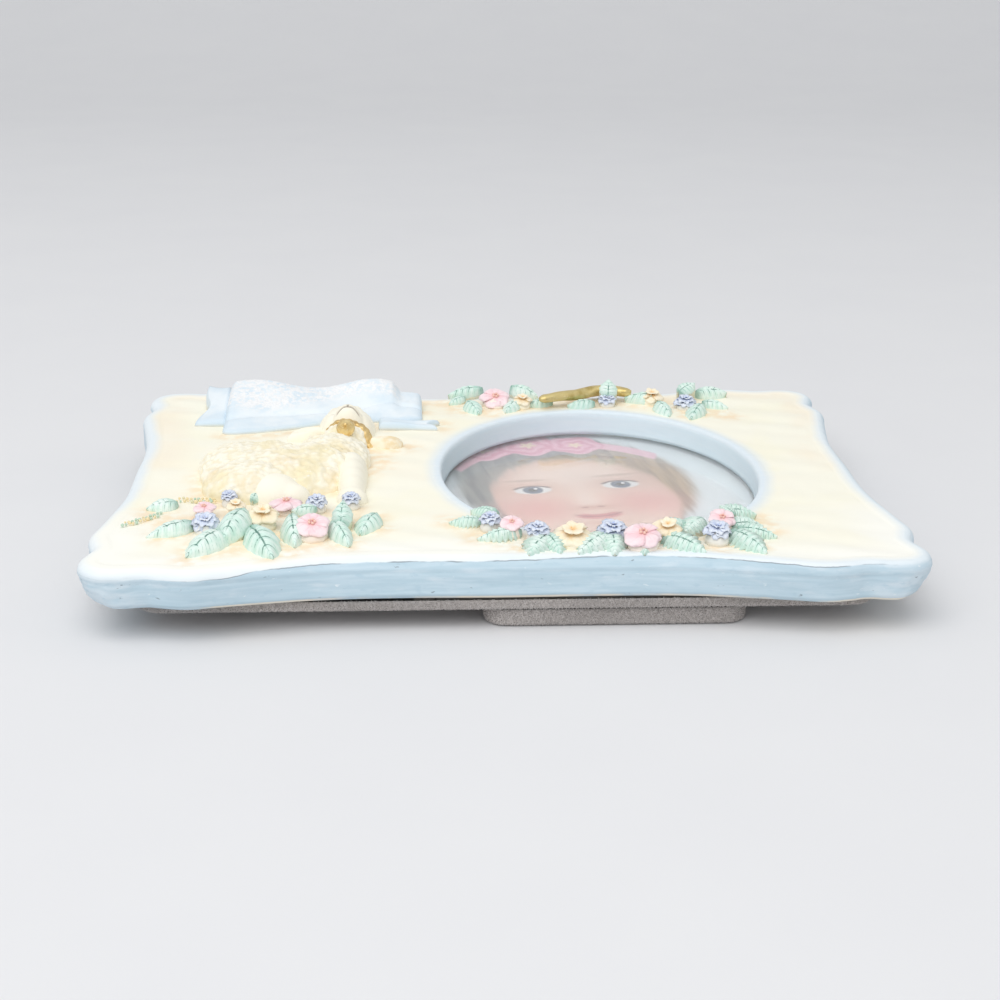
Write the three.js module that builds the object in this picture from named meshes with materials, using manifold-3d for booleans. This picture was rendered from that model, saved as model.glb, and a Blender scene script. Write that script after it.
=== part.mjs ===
// Cast-resin picture frame: a scalloped landscape plaque with an oval window, a lamb, a ribbon scroll and
// flowers in relief, on a velvet-covered easel back whose leg lies folded under it.
// Millimetres, +X to the right, +Y to the frame's top edge, +Z out of the face, z = 0 on the table.
import * as THREE from 'three';
import { mergeVertices } from 'three/addons/utils/BufferGeometryUtils.js';
import Module from 'manifold-3d';

const wasm = await Module();
wasm.setup();

// Clearances
const CLEARANCE = 0.3; // between pieces that are cut to fit each other
const BOND_LINE = 0.1; // adhesive under a casting that sits on another one
const RUNNING_GAP = 0.25; // round a pin or a rivet in its hole

// Plaque
const PLAQUE_WIDTH = 200;
const PLAQUE_HEIGHT = 150;
const PLAQUE_THICKNESS = 9.2;
const FACE_RECESS = 8; // middle of a long edge inside its corner lobes, at the face
const REAR_RECESS = 5.2; // the same at the back
const SIDE_RECESS = 4.4; // middle of a short edge inside its corner lobes
const REAR_INSET = 0.9; // the back lies inside the widest line by this
const EDGE_ROUND = 2.4; // rounding from the side to the face
const LONG_EDGE_START = 60; // in from the side, where a long edge turns straight
const SIDE_START = 54; // in from the edge, where a short edge turns straight
// Scallops of a corner, from the long edge round to the short one: in from the side, in from the edge
const SCALLOP = [
  { side: 33, edge: 1.2 },
  { side: 26, edge: 0 },
  { side: 20.5, edge: 0.8 },
  { side: 16.5, edge: 1.8 },
  { side: 11.5, edge: 1.1 },
  { side: 5.4, edge: 1.7 },
  { side: 1.2, edge: 5.2 },
  { side: 0, edge: 10 },
  { side: 1.2, edge: 14.4 },
  { side: 2, edge: 17.4 },
  { side: 1.1, edge: 20.8 },
  { side: 0, edge: 25.6 },
  { side: 1, edge: 32 },
];

// Window, glass and the core behind the lamb
const WINDOW_X = 27.5;
const WINDOW_Y = -2;
const WINDOW_WIDTH = 83.2;
const WINDOW_HEIGHT = 104.8;
const GLASS_DEPTH = 6.6; // the glass lies this far below the face
const GLASS_THICKNESS = 2;
const GLASS_LAP = 2.7; // glass behind the window's edge
const CORE_FACE = 3.4; // resin left in front of the core
const CORE_MARGIN = 14; // resin left round the core at the plaque's edges
const CORE_CORNER = 8;
const CORE_WALL = 5; // least resin between the core and the glass seat

// Print pocket
const PRINT_WIDTH = 89;
const PRINT_HEIGHT = 127;
const PRINT_THICKNESS = 0.25;
const FILLER_THICKNESS = 0.6;
const PRINT_PLAY = 0.5; // at each side and under the print
const PRINT_LIFT = 2; // the print's middle above the window's
const POCKET_DEPTH = 1.2;
const POCKET_PLAY = 0.1; // under the filler card
const SPACER_WIDTH = 5;
const SPACER_SETBACK = 1; // in from the board's edges

// Easel back
const BOARD_WIDTH = 174;
const BOARD_THICKNESS = 1.8;
const BOARD_CORNER = 6;
const BOARD_SETBACK = 0.8; // in from the plaque's back edge
const VELVET_THICKNESS = 0.5;
const LEG_X = 25.5;
const LEG_FOOT_WIDTH = 62;
const LEG_TOP_WIDTH = 50;
const LEG_CORE_THICKNESS = 3.9;
const LEG_CORNER = 5;
const LEG_FOOT_SETBACK = 1.2; // in from the board's near edge
const LEG_GAP = 0.3; // between the folded leg and the board

// Hinge
const HINGE_Y = 32;
const PIN_RADIUS = 0.8;
const PIN_HEAD_RADIUS = 1.4;
const PIN_HEAD_LENGTH = 0.8;
const KNUCKLE_RADIUS = 1.7;
const MIDDLE_KNUCKLE = 14; // length of the leg's knuckle
const LEAF_WIDTH = 34;
const LEAF_LENGTH = 15;
const LEAF_THICKNESS = 0.7;
const HEEL_LENGTH = 2.8; // past the pin; it meets the board when the leg is open
const HEEL_ABOVE = 0.35;
const HEEL_BELOW = 0.4;
const RIVET_RADIUS = 0.95;
const RIVET_HEAD_RADIUS = 2.1;
const RIVET_HEAD_HEIGHT = 1.1;
const RIVET_SPREAD = 10; // each side of the hinge's middle
const RIVET_OUT = 9.5; // from the pin
const RIVET_RECESS = 0.1; // a countersunk head below its leaf
const RIVET_RIM = 0.1; // straight edge of a countersunk head
const RIVET_SKIN = 0.3; // board or core left past a rivet's end

// Relief heights above the face
const SPRAY_HEIGHT = 1.6;
const FLOWER_HEIGHT = 3.4;

// Heights from the table up
const Z_LEG_CORE = VELVET_THICKNESS;
const Z_LEG_TOP = Z_LEG_CORE + LEG_CORE_THICKNESS;
const Z_BACK = Z_LEG_TOP + LEG_GAP;
const Z_BOARD = Z_BACK + VELVET_THICKNESS;
const Z_POCKET = Z_BOARD + BOARD_THICKNESS;
const Z_REAR = Z_POCKET + POCKET_DEPTH;
const Z_FACE = Z_REAR + PLAQUE_THICKNESS;
const Z_GROUND = Z_FACE + BOND_LINE;
const Z_PIN = Z_BACK - LEG_GAP - KNUCKLE_RADIUS;

// Facets
const OUTLINE_POINTS = 120;
const OVAL_STEPS = 22; // per half turn
const CORNER_STEPS = 5;
const ROUND_SIDES = 14;
const BLOB_SIDES = 16;
const BLOB_RINGS = 10;
const PETALS = 5;
const PETAL_POINTS = 2;
const LEAF_STEPS = 5;
const BED_STEPS = 12;
const COLLAR_STEPS = 14;
const SCROLL_STEPS = 12;

// Lamb: rounded masses, each with its centre, radii and turn in the plane of the face
const LAMB_BODY = [
  { x: -57, y: -8, rx: 21, ry: 17, rz: 8 },
  { x: -43, y: 5, rx: 13, ry: 14, rz: 7.8 },
  { x: -63, y: -17, rx: 14, ry: 12, rz: 7.5 },
];
const LAMB_NECK = { x: -40.6, y: 16, rx: 8, ry: 9, rz: 7.4 };
const LAMB_HEAD = [
  { x: -40.4, y: 31.5, rx: 8.5, ry: 8, rz: 7.9 },
  { x: -39.9, y: 27, rx: 5.4, ry: 5, rz: 9.4 },
];
const LAMB_LIMBS = {
  lamb_ear_left: { x: -51, y: 27, rx: 6.5, ry: 3, rz: 3.4, turn: 26 },
  lamb_ear_right: { x: -28.6, y: 19, rx: 5.6, ry: 2.8, rz: 3.2, turn: -14 },
  lamb_fore_leg: { x: -37.5, y: -18.5, rx: 4.4, ry: 12, rz: 5 },
  lamb_hind_leg: { x: -57, y: -25.5, rx: 9, ry: 5.2, rz: 4.8 },
};
const COLLAR = { x: -40.4, y: 18.6, reach: 12, width: 2.4, thickness: 1, turn: -20 };
const BELL = { x: -39.9, y: 11.4, radius: 2.2, lift: 8, mouth: 2.6, height: 4 };

// Ribbon scroll: its ends, its near edge at each end, its far edge, the height of its near edge, and the
// waves along its far one
const SCROLL = {
  left: -75.5,
  right: -19,
  nearLeft: 28.5,
  nearRight: 41,
  far: 60,
  low: 2.6,
  trough: 5.4,
  crest: 8.2,
  waves: 1.73,
  firstCrest: 0.15,
};
const TAIL_HEIGHT = 1.8;
const TAIL_LEFT = [[-75.9, 58], [-82.5, 60], [-80.5, 49], [-84, 37.5], [-75.9, 38.5]];
const TAIL_RIGHT = [[-30.5, 35.2], [-14.5, 34.6], [-17.5, 37.4], [-13.5, 40], [-30.5, 38.4]];

// Gilt ribbon among the upper flowers
const GILT = {
  origin: [WINDOW_X, WINDOW_Y + WINDOW_HEIGHT / 2],
  points: [[-10.5, 6.1], [-2, 10.1], [6.5, 12.6], [15.5, 10.6]],
  radius: 1.4,
};

// Sprays: the bed that the stems follow, the tips of the leaves and the flowers on top, each from the
// spray's origin; the lower and upper ones hang from the ends of the window
const BED_WIDTH = 6.4;
const STEM_WIDTH = 2.6;
const LEAF_SPREAD = 0.42; // a leaf's width as a share of its length
const LEAF_MAX_WIDTH = 8;
const LEAF_ROOT_WIDTH = 1.2;
const LEAF_RIDGE = 1 / 3; // width of its ridged top as a share of its own width
const PETAL_NOTCH = 0.15; // dip between petals as a share of the flower's radius
// A flower from its base through its petals' rim and throat to its eye, as shares of its radius and height
const FLOWER_ROWS = [
  { spread: 0.5, rise: 0 },
  { spread: 1, rise: 0.45 },
  { spread: 0.9, rise: 0.8 },
  { spread: 0.4, rise: 0.55 },
  { spread: 0.2, rise: 1 },
];
const SPRAYS = {
  meadow: {
    origin: [0, 0],
    bed: [[-81, -42], [-72, -48], [-60, -51], [-47, -50], [-37, -45]],
    tips: [[-88, -31], [-83, -53], [-74.5, -67], [-65, -61], [-55.5, -66], [-50.5, -63], [-37.5, -59],
      [-30, -47], [-31, -38]],
    flowers: [
      { tint: 'blue', x: -72.5, y: -47.5, radius: 4 },
      { tint: 'pink', x: -74.2, y: -38.6, radius: 3.2 },
      { tint: 'blue', x: -69, y: -31.5, radius: 2.4 },
      { tint: 'peach', x: -66.2, y: -37.2, radius: 3 },
      { tint: 'pink', x: -54.5, y: -36.6, radius: 4 },
      { tint: 'peach', x: -58.5, y: -49.5, radius: 3.4 },
      { tint: 'blue', x: -46, y: -35.8, radius: 3.3 },
      { tint: 'blue', x: -37.5, y: -34.4, radius: 3.1 },
      { tint: 'pink', x: -46, y: -53, radius: 5.2 },
    ],
  },
  lower: {
    origin: [WINDOW_X, WINDOW_Y - WINDOW_HEIGHT / 2],
    bed: [[-36.5, 10.4], [-29.5, 3.4], [-19.5, -2.6], [-7.5, -5.6], [4.5, -6], [16.5, -3.6], [26.5, 3.4],
      [31, 10.4]],
    tips: [[-42, 13.2], [-35.5, -1], [-26.5, -7.6], [-19.6, -11], [-9, -11], [16, -11], [23, -11], [32.5, -8],
      [38, 3.6], [36, 13.4]],
    flowers: [
      { tint: 'blue', x: -31.6, y: 5.9, radius: 3.1 },
      { tint: 'pink', x: -26.6, y: 1.7, radius: 3.2 },
      { tint: 'blue', x: -20.6, y: -1.6, radius: 3.4 },
      { tint: 'peach', x: -12.3, y: -4.2, radius: 4.4 },
      { tint: 'blue', x: -2.5, y: -1.6, radius: 3.5 },
      { tint: 'pink', x: 4.1, y: -7, radius: 4.7 },
      { tint: 'peach', x: 11.7, y: -2, radius: 3.6 },
      { tint: 'blue', x: 21.7, y: -5, radius: 3.9 },
      { tint: 'pink', x: 24.5, y: 3.5, radius: 3.8 },
    ],
  },
  upper: {
    origin: [WINDOW_X, WINDOW_Y + WINDOW_HEIGHT / 2],
    bed: [[-34.5, 7.6], [-23.5, 7.2], [-11.5, 8.2], [2.5, 9.6], [16.5, 10], [28.5, 6.6], [38.5, -0.4]],
    tips: [[-41.5, 12.6], [-35.5, 0.6], [-25.5, -1.9], [-12.5, 15.1], [3.5, 15.6], [11.5, 15.1], [23.5, 14.6],
      [38.5, 10.6], [44.5, -5.4], [30.5, -4.4]],
    flowers: [
      { tint: 'pink', x: -25, y: 7.6, radius: 5 },
      { tint: 'peach', x: -16.9, y: 5, radius: 3 },
      { tint: 'blue', x: 8.5, y: 6.6, radius: 3 },
      { tint: 'peach', x: 22, y: 8.6, radius: 3.8 },
      { tint: 'blue', x: 31.5, y: 3.6, radius: 3.8 },
    ],
  },
};

function finish(color, roughness, metalness = 0) {
  return new THREE.MeshStandardMaterial({ color, roughness, metalness });
}

const FINISHES = {
  plaque: finish(0xf4e6cf, 0.6),
  glass: finish(0xdfe6e8, 0.05),
  print: finish(0xd8c4ba, 0.35),
  card: finish(0xb9a98c, 0.9),
  velvet: finish(0x8d8a86, 0.95),
  steel: finish(0xb8b4a8, 0.35, 1),
  lamb: finish(0xf6ecd2, 0.65),
  gilt: finish(0xc79a3c, 0.35, 0.8),
  scroll: finish(0xd3e2f0, 0.6),
  leaf: finish(0xa9d6c2, 0.6),
  pink: finish(0xf0b7c2, 0.6),
  blue: finish(0x9fb0e0, 0.6),
  peach: finish(0xf6d3a6, 0.6),
};

// Solids

function toSolid(geometry) {
  const bare = geometry.clone();
  bare.deleteAttribute('normal');
  bare.deleteAttribute('uv');
  const merged = mergeVertices(bare);
  const vertProperties = new Float32Array(merged.attributes.position.array);
  const triVerts = new Uint32Array(merged.index.array);
  return new wasm.Manifold(new wasm.Mesh({ numProp: 3, vertProperties, triVerts }));
}

function toGeometry(solid) {
  const mesh = solid.getMesh();
  const geometry = new THREE.BufferGeometry();
  geometry.setAttribute('position', new THREE.BufferAttribute(mesh.vertProperties, mesh.numProp));
  geometry.setIndex(new THREE.BufferAttribute(mesh.triVerts, 1));
  geometry.computeVertexNormals();
  return geometry;
}

function join(solids) {
  return solids.reduce((sum, solid) => sum.add(solid));
}

function box(x0, x1, y0, y1, z0, z1) {
  const geometry = new THREE.BoxGeometry(x1 - x0, y1 - y0, z1 - z0);
  return geometry.translate((x0 + x1) / 2, (y0 + y1) / 2, (z0 + z1) / 2);
}

function prism(shape, z0, z1, curveSegments = CORNER_STEPS) {
  const geometry = new THREE.ExtrudeGeometry(shape, { depth: z1 - z0, bevelEnabled: false, curveSegments });
  return geometry.translate(0, 0, z0);
}

function polygon(points) {
  return new THREE.Shape(points.map(([x, y]) => new THREE.Vector2(x, y)));
}

function oval(margin) {
  const shape = new THREE.Shape();
  const rx = WINDOW_WIDTH / 2 + margin;
  const ry = WINDOW_HEIGHT / 2 + margin;
  return shape.absellipse(WINDOW_X, WINDOW_Y, rx, ry, 0, 2 * Math.PI, false, 0);
}

// A closed skin over rings of equal count, each anticlockwise from above, from the lowest to the highest
function loft(rings) {
  const count = rings[0].length;
  const points = rings.flat();
  const middle = (ring) => ring.reduce((sum, p) => sum.add(p), new THREE.Vector3()).divideScalar(count);
  const bottom = points.length;
  const top = bottom + 1;
  points.push(middle(rings[0]), middle(rings.at(-1)));
  const index = [];
  const last = (rings.length - 1) * count;
  for (let i = 0; i < count; i += 1) {
    const next = (i + 1) % count;
    for (let row = 0; row < last; row += count) {
      index.push(row + i, row + next, row + next + count, row + i, row + next + count, row + i + count);
    }
    index.push(next, i, bottom, last + i, last + next, top);
  }
  const geometry = new THREE.BufferGeometry().setFromPoints(points);
  geometry.setIndex(index);
  geometry.computeVertexNormals();
  return geometry;
}

// A turned piece on a vertical axis, from [radius, z] pairs
function turned(profile, x, y) {
  const points = profile.map(([radius, z]) => new THREE.Vector2(radius, z));
  const geometry = new THREE.LatheGeometry(points, ROUND_SIDES);
  return geometry.rotateX(Math.PI / 2).translate(x, y, 0);
}

// A round bar along X
function bar(radius, x0, x1) {
  const geometry = new THREE.CylinderGeometry(radius, radius, x1 - x0, ROUND_SIDES);
  return geometry.rotateZ(Math.PI / 2).translate((x0 + x1) / 2, HINGE_Y, Z_PIN);
}

const frame = new THREE.Group();

function addPart(name, shape, material, group = frame) {
  const geometry = shape.isBufferGeometry ? shape : toGeometry(shape);
  const mesh = new THREE.Mesh(geometry, material);
  mesh.name = name;
  group.add(mesh);
}

// Plaque

// The scalloped outline at one height, with the long edges' recess and an inset all round
function plaqueRing(recess, inset, z) {
  const halfWidth = PLAQUE_WIDTH / 2;
  const halfHeight = PLAQUE_HEIGHT / 2;
  const quarter = [
    [0, halfHeight - recess],
    [halfWidth - LONG_EDGE_START, halfHeight - recess],
    ...SCALLOP.map(({ side, edge }) => [halfWidth - side, halfHeight - edge]),
    [halfWidth - SIDE_RECESS, halfHeight - SIDE_START],
    [halfWidth - SIDE_RECESS, 0],
  ];
  const lower = quarter.slice(1, -1).map(([x, y]) => [x, -y]).reverse();
  const right = [...quarter, ...lower, [0, recess - halfHeight]];
  const left = right.slice(1, -1).map(([x, y]) => [-x, y]).reverse();
  const corners = [...right, ...left].reverse().map(([x, y]) => new THREE.Vector3(x, y, z));
  const curve = new THREE.CatmullRomCurve3(corners, true, 'centripetal');
  const ring = [];
  for (let i = 0; i < OUTLINE_POINTS; i += 1) {
    const share = i / OUTLINE_POINTS;
    const tangent = curve.getTangent(share);
    const inward = new THREE.Vector3(-tangent.y, tangent.x, 0).normalize();
    ring.push(curve.getPoint(share).addScaledVector(inward, inset));
  }
  return ring;
}

const rebate = { z0: Z_REAR - CLEARANCE, z1: Z_FACE - GLASS_DEPTH, margin: GLASS_LAP + CLEARANCE };
const pocketLeft = WINDOW_X - PRINT_WIDTH / 2 - PRINT_PLAY;
const pocketRight = WINDOW_X + PRINT_WIDTH / 2 + PRINT_PLAY;
const pocketBottom = WINDOW_Y + PRINT_LIFT - PRINT_HEIGHT / 2 - PRINT_PLAY;
const boardTop = PLAQUE_HEIGHT / 2 - REAR_RECESS - REAR_INSET - BOARD_SETBACK;
const boardLeft = -BOARD_WIDTH / 2;

function roundedRectangle(x0, x1, y0, y1, radius) {
  const shape = new THREE.Shape();
  shape.moveTo(x0 + radius, y0);
  shape.lineTo(x1 - radius, y0);
  shape.absarc(x1 - radius, y0 + radius, radius, -Math.PI / 2, 0, false);
  shape.lineTo(x1, y1 - radius);
  shape.absarc(x1 - radius, y1 - radius, radius, 0, Math.PI / 2, false);
  shape.lineTo(x0 + radius, y1);
  shape.absarc(x0 + radius, y1 - radius, radius, Math.PI / 2, Math.PI, false);
  shape.lineTo(x0, y0 + radius);
  shape.absarc(x0 + radius, y0 + radius, radius, Math.PI, 1.5 * Math.PI, false);
  return shape;
}

function buildPlaque() {
  const shoulder = EDGE_ROUND * (1 - Math.SQRT1_2);
  const middleRecess = (FACE_RECESS + REAR_RECESS) / 2;
  const blank = toSolid(loft([
    plaqueRing(REAR_RECESS, REAR_INSET, Z_REAR),
    plaqueRing(middleRecess, 0, Z_FACE - EDGE_ROUND),
    plaqueRing(FACE_RECESS, shoulder, Z_FACE - shoulder),
    plaqueRing(FACE_RECESS, EDGE_ROUND, Z_FACE),
  ]));
  const window = toSolid(prism(oval(0), Z_REAR - CLEARANCE, Z_FACE + CLEARANCE, OVAL_STEPS));
  const seat = toSolid(prism(oval(rebate.margin), rebate.z0, rebate.z1, OVAL_STEPS));
  const coreTop = PLAQUE_HEIGHT / 2 - CORE_MARGIN;
  const coreLeft = CORE_MARGIN - PLAQUE_WIDTH / 2;
  const seatLeft = WINDOW_X - WINDOW_WIDTH / 2 - rebate.margin;
  const coreRight = Math.min(pocketLeft - SPACER_WIDTH, seatLeft - CORE_WALL);
  const core = toSolid(prism(
    roundedRectangle(coreLeft, coreRight, -coreTop, coreTop, CORE_CORNER),
    Z_REAR - CLEARANCE,
    Z_FACE - CORE_FACE,
  ));
  return blank.subtract(window).subtract(seat).subtract(core);
}

addPart('front_plaque', buildPlaque(), FINISHES.plaque);
const glass = prism(oval(GLASS_LAP), rebate.z1 - GLASS_THICKNESS, rebate.z1, OVAL_STEPS);
addPart('window_glass', glass, FINISHES.glass);

// Print, filler card and the spacers that make their pocket

const printBottom = pocketBottom + PRINT_PLAY;
const printZ = Z_POCKET + POCKET_PLAY + FILLER_THICKNESS;

function cardSheet(z0, z1) {
  const left = WINDOW_X - PRINT_WIDTH / 2;
  return box(left, left + PRINT_WIDTH, printBottom, printBottom + PRINT_HEIGHT, z0, z1);
}

addPart('photo_print', cardSheet(printZ, printZ + PRINT_THICKNESS), FINISHES.print);
addPart('filler_card', cardSheet(Z_POCKET + POCKET_PLAY, printZ), FINISHES.card);

const spacerEnd = boardTop - SPACER_SETBACK;
const spacers = {
  spacer_left: [pocketLeft - SPACER_WIDTH, pocketLeft, -spacerEnd, spacerEnd],
  spacer_right: [pocketRight, pocketRight + SPACER_WIDTH, -spacerEnd, spacerEnd],
  spacer_bottom: [pocketLeft + CLEARANCE, pocketRight - CLEARANCE, -spacerEnd, pocketBottom],
};
for (const [name, [x0, x1, y0, y1]] of Object.entries(spacers)) {
  addPart(name, box(x0, x1, y0, y1, Z_POCKET, Z_REAR), FINISHES.card);
}

// Hinge and rivets

const rivetX = [LEG_X - RIVET_SPREAD, LEG_X + RIVET_SPREAD];
const boardRivetY = HINGE_Y + RIVET_OUT;
const legRivetY = HINGE_Y - RIVET_OUT;
const leafX0 = LEG_X - LEAF_WIDTH / 2;
const leafX1 = LEG_X + LEAF_WIDTH / 2;
const middleX0 = LEG_X - MIDDLE_KNUCKLE / 2;
const middleX1 = LEG_X + MIDDLE_KNUCKLE / 2;

// Dome-headed rivet through the fixed leaf and the board; grow widens it for its holes
function boardRivet(x, grow) {
  const head = Z_BACK - LEAF_THICKNESS;
  const shank = RIVET_RADIUS + grow;
  const end = Z_POCKET - RIVET_SKIN + grow;
  const dome = head - RIVET_HEAD_HEIGHT;
  const cheek = RIVET_HEAD_RADIUS * Math.SQRT1_2;
  const profile = [
    [0, dome],
    [cheek, dome + RIVET_HEAD_HEIGHT * (1 - Math.SQRT1_2)],
    [RIVET_HEAD_RADIUS, head],
    [shank, head],
    [shank, end],
    [0, end],
  ];
  return toSolid(turned(profile, x, boardRivetY));
}

// Countersunk rivet through the moving leaf into the leg; grow widens it for its holes
function legRivet(x, grow) {
  const start = Z_LEG_CORE + RIVET_SKIN - grow;
  const top = Z_LEG_TOP - RIVET_RECESS + grow;
  const shank = RIVET_RADIUS + grow;
  const head = RIVET_HEAD_RADIUS + grow;
  const profile = [
    [0, start],
    [shank, start],
    [shank, Z_LEG_TOP - LEAF_THICKNESS],
    [head, Z_LEG_TOP - RIVET_RECESS - RIVET_RIM],
    [head, top],
    [0, top],
  ];
  return toSolid(turned(profile, x, legRivetY));
}

function cutBoardRivets(solid) {
  return rivetX.reduce((rest, x) => rest.subtract(boardRivet(x, RUNNING_GAP)), solid);
}

function cutLegRivets(solid) {
  return rivetX.reduce((rest, x) => rest.subtract(legRivet(x, RUNNING_GAP)), solid);
}

const bore = toSolid(bar(PIN_RADIUS + RUNNING_GAP, leafX0 - CLEARANCE, leafX1 + CLEARANCE));
const neckStart = HINGE_Y - KNUCKLE_RADIUS - CLEARANCE;

function buildFixedLeaf() {
  const plate = toSolid(box(leafX0, leafX1, HINGE_Y, HINGE_Y + LEAF_LENGTH, Z_BACK - LEAF_THICKNESS, Z_BACK));
  const left = toSolid(bar(KNUCKLE_RADIUS, leafX0, middleX0 - CLEARANCE));
  const right = toSolid(bar(KNUCKLE_RADIUS, middleX1 + CLEARANCE, leafX1));
  const notchEnd = HINGE_Y + HEEL_LENGTH + 2 * CLEARANCE;
  const notch = toSolid(box(
    middleX0 - CLEARANCE,
    middleX1 + CLEARANCE,
    HINGE_Y - KNUCKLE_RADIUS,
    notchEnd,
    Z_PIN - KNUCKLE_RADIUS,
    Z_BACK + CLEARANCE,
  ));
  const leaf = join([plate, left, right]).subtract(notch).subtract(bore);
  return cutBoardRivets(leaf);
}

function buildMovingLeaf() {
  const underside = Z_LEG_TOP - LEAF_THICKNESS;
  const plate = toSolid(box(leafX0, leafX1, HINGE_Y - LEAF_LENGTH, neckStart, underside, Z_LEG_TOP));
  const neck = toSolid(box(middleX0, middleX1, neckStart, HINGE_Y, underside, Z_LEG_TOP));
  const knuckle = toSolid(bar(KNUCKLE_RADIUS, middleX0, middleX1));
  const heelTop = Z_PIN + HEEL_ABOVE;
  const heel = toSolid(box(middleX0, middleX1, HINGE_Y, HINGE_Y + HEEL_LENGTH, Z_PIN - HEEL_BELOW, heelTop));
  const leaf = join([plate, neck, knuckle, heel]).subtract(bore);
  return cutLegRivets(leaf);
}

function buildPin() {
  const end = CLEARANCE + PIN_HEAD_LENGTH;
  const pin = toSolid(bar(PIN_RADIUS, leafX0 - end, leafX1 + end));
  const left = toSolid(bar(PIN_HEAD_RADIUS, leafX0 - end, leafX0 - CLEARANCE));
  const right = toSolid(bar(PIN_HEAD_RADIUS, leafX1 + CLEARANCE, leafX1 + end));
  return join([pin, left, right]);
}

addPart('hinge_fixed_leaf', buildFixedLeaf(), FINISHES.steel);
addPart('hinge_moving_leaf', buildMovingLeaf(), FINISHES.steel);
addPart('hinge_pin', buildPin(), FINISHES.steel);
addPart('board_rivet_left', boardRivet(rivetX[0], 0), FINISHES.steel);
addPart('board_rivet_right', boardRivet(rivetX[1], 0), FINISHES.steel);
addPart('leg_rivet_left', legRivet(rivetX[0], 0), FINISHES.steel);
addPart('leg_rivet_right', legRivet(rivetX[1], 0), FINISHES.steel);

// Backing board and its velvet

function boardShape(grow) {
  const half = boardTop + grow;
  return roundedRectangle(boardLeft - grow, -boardLeft + grow, -half, half, BOARD_CORNER + grow);
}

const wrap = VELVET_THICKNESS + BOND_LINE;
const board = toSolid(prism(boardShape(0), Z_BOARD, Z_POCKET));
const boardOuter = toSolid(prism(boardShape(wrap), Z_BACK, Z_POCKET));
const boardInner = toSolid(prism(boardShape(BOND_LINE), Z_BOARD, Z_POCKET + CLEARANCE));
addPart('backing_board', cutBoardRivets(board), FINISHES.card);
addPart('backing_velvet', cutBoardRivets(boardOuter.subtract(boardInner)), FINISHES.velvet);

// Easel leg and its velvet

const legTop = neckStart - wrap - CLEARANCE;
const legFoot = -boardTop + LEG_FOOT_SETBACK;

// The leg's tapered outline with round foot corners; grow moves every side out
function legShape(grow) {
  const top = legTop + grow;
  const foot = legFoot - grow;
  const topHalf = LEG_TOP_WIDTH / 2 + grow;
  const footHalf = LEG_FOOT_WIDTH / 2 + grow;
  const radius = LEG_CORNER + grow;
  const shape = new THREE.Shape();
  shape.moveTo(LEG_X + topHalf, top);
  shape.lineTo(LEG_X - topHalf, top);
  shape.lineTo(LEG_X - footHalf, foot + radius);
  shape.absarc(LEG_X - footHalf + radius, foot + radius, radius, Math.PI, 1.5 * Math.PI, false);
  shape.lineTo(LEG_X + footHalf - radius, foot);
  shape.absarc(LEG_X + footHalf - radius, foot + radius, radius, 1.5 * Math.PI, 2 * Math.PI, false);
  return shape;
}

function buildLegCore() {
  const core = toSolid(prism(legShape(0), Z_LEG_CORE, Z_LEG_TOP));
  const mortise = toSolid(box(
    leafX0 - CLEARANCE,
    leafX1 + CLEARANCE,
    HINGE_Y - LEAF_LENGTH - CLEARANCE,
    HINGE_Y,
    Z_LEG_TOP - LEAF_THICKNESS - BOND_LINE,
    Z_LEG_TOP + CLEARANCE,
  ));
  return cutLegRivets(core.subtract(mortise));
}

function buildLegVelvet() {
  const outer = toSolid(prism(legShape(wrap), 0, Z_LEG_TOP));
  const inner = toSolid(prism(legShape(BOND_LINE), Z_LEG_CORE, Z_LEG_TOP + CLEARANCE));
  const leafGap = toSolid(box(
    leafX0 - CLEARANCE,
    leafX1 + CLEARANCE,
    legTop - wrap,
    HINGE_Y,
    Z_LEG_TOP - LEAF_THICKNESS - CLEARANCE,
    Z_LEG_TOP + CLEARANCE,
  ));
  return outer.subtract(inner).subtract(leafGap);
}

addPart('easel_leg_board', buildLegCore(), FINISHES.card);
addPart('easel_leg_velvet', buildLegVelvet(), FINISHES.velvet);

// Lamb

const below = toSolid(box(-PLAQUE_WIDTH, PLAQUE_WIDTH, -PLAQUE_HEIGHT, PLAQUE_HEIGHT, -Z_GROUND, Z_GROUND));

function blob({ x, y, rx, ry, rz, turn = 0 }, grow = 0) {
  const geometry = new THREE.SphereGeometry(1, BLOB_SIDES, BLOB_RINGS).rotateX(Math.PI / 2);
  geometry.scale(rx + grow, ry + grow, rz + grow);
  geometry.rotateZ(THREE.MathUtils.degToRad(turn)).translate(x, y, Z_GROUND);
  return toSolid(geometry);
}

function mass(blobs, grow = 0) {
  return join(blobs.map((item) => blob(item, grow)));
}

const bodyCut = mass([...LAMB_BODY, LAMB_NECK], CLEARANCE);
const headCut = mass(LAMB_HEAD, CLEARANCE);
const wool = mass([...LAMB_BODY, LAMB_NECK]).subtract(below);
addPart('lamb_body', wool, FINISHES.lamb);
addPart('lamb_head', mass(LAMB_HEAD).subtract(bodyCut).subtract(below), FINISHES.lamb);
for (const [name, limb] of Object.entries(LAMB_LIMBS)) {
  addPart(name, blob(limb).subtract(bodyCut).subtract(headCut).subtract(below), FINISHES.lamb);
}

// A band round the neck: the neck's own form, thicker, between two planes
function buildCollar() {
  const { x, y, reach, width, thickness, turn } = COLLAR;
  const slab = box(-reach, reach, -width / 2, width / 2, Z_GROUND, Z_GROUND + reach);
  slab.rotateZ(THREE.MathUtils.degToRad(turn)).translate(x, y, 0);
  const band = blob(LAMB_NECK, CLEARANCE + thickness).intersect(toSolid(slab));
  return band.subtract(bodyCut).subtract(headCut);
}

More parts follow.
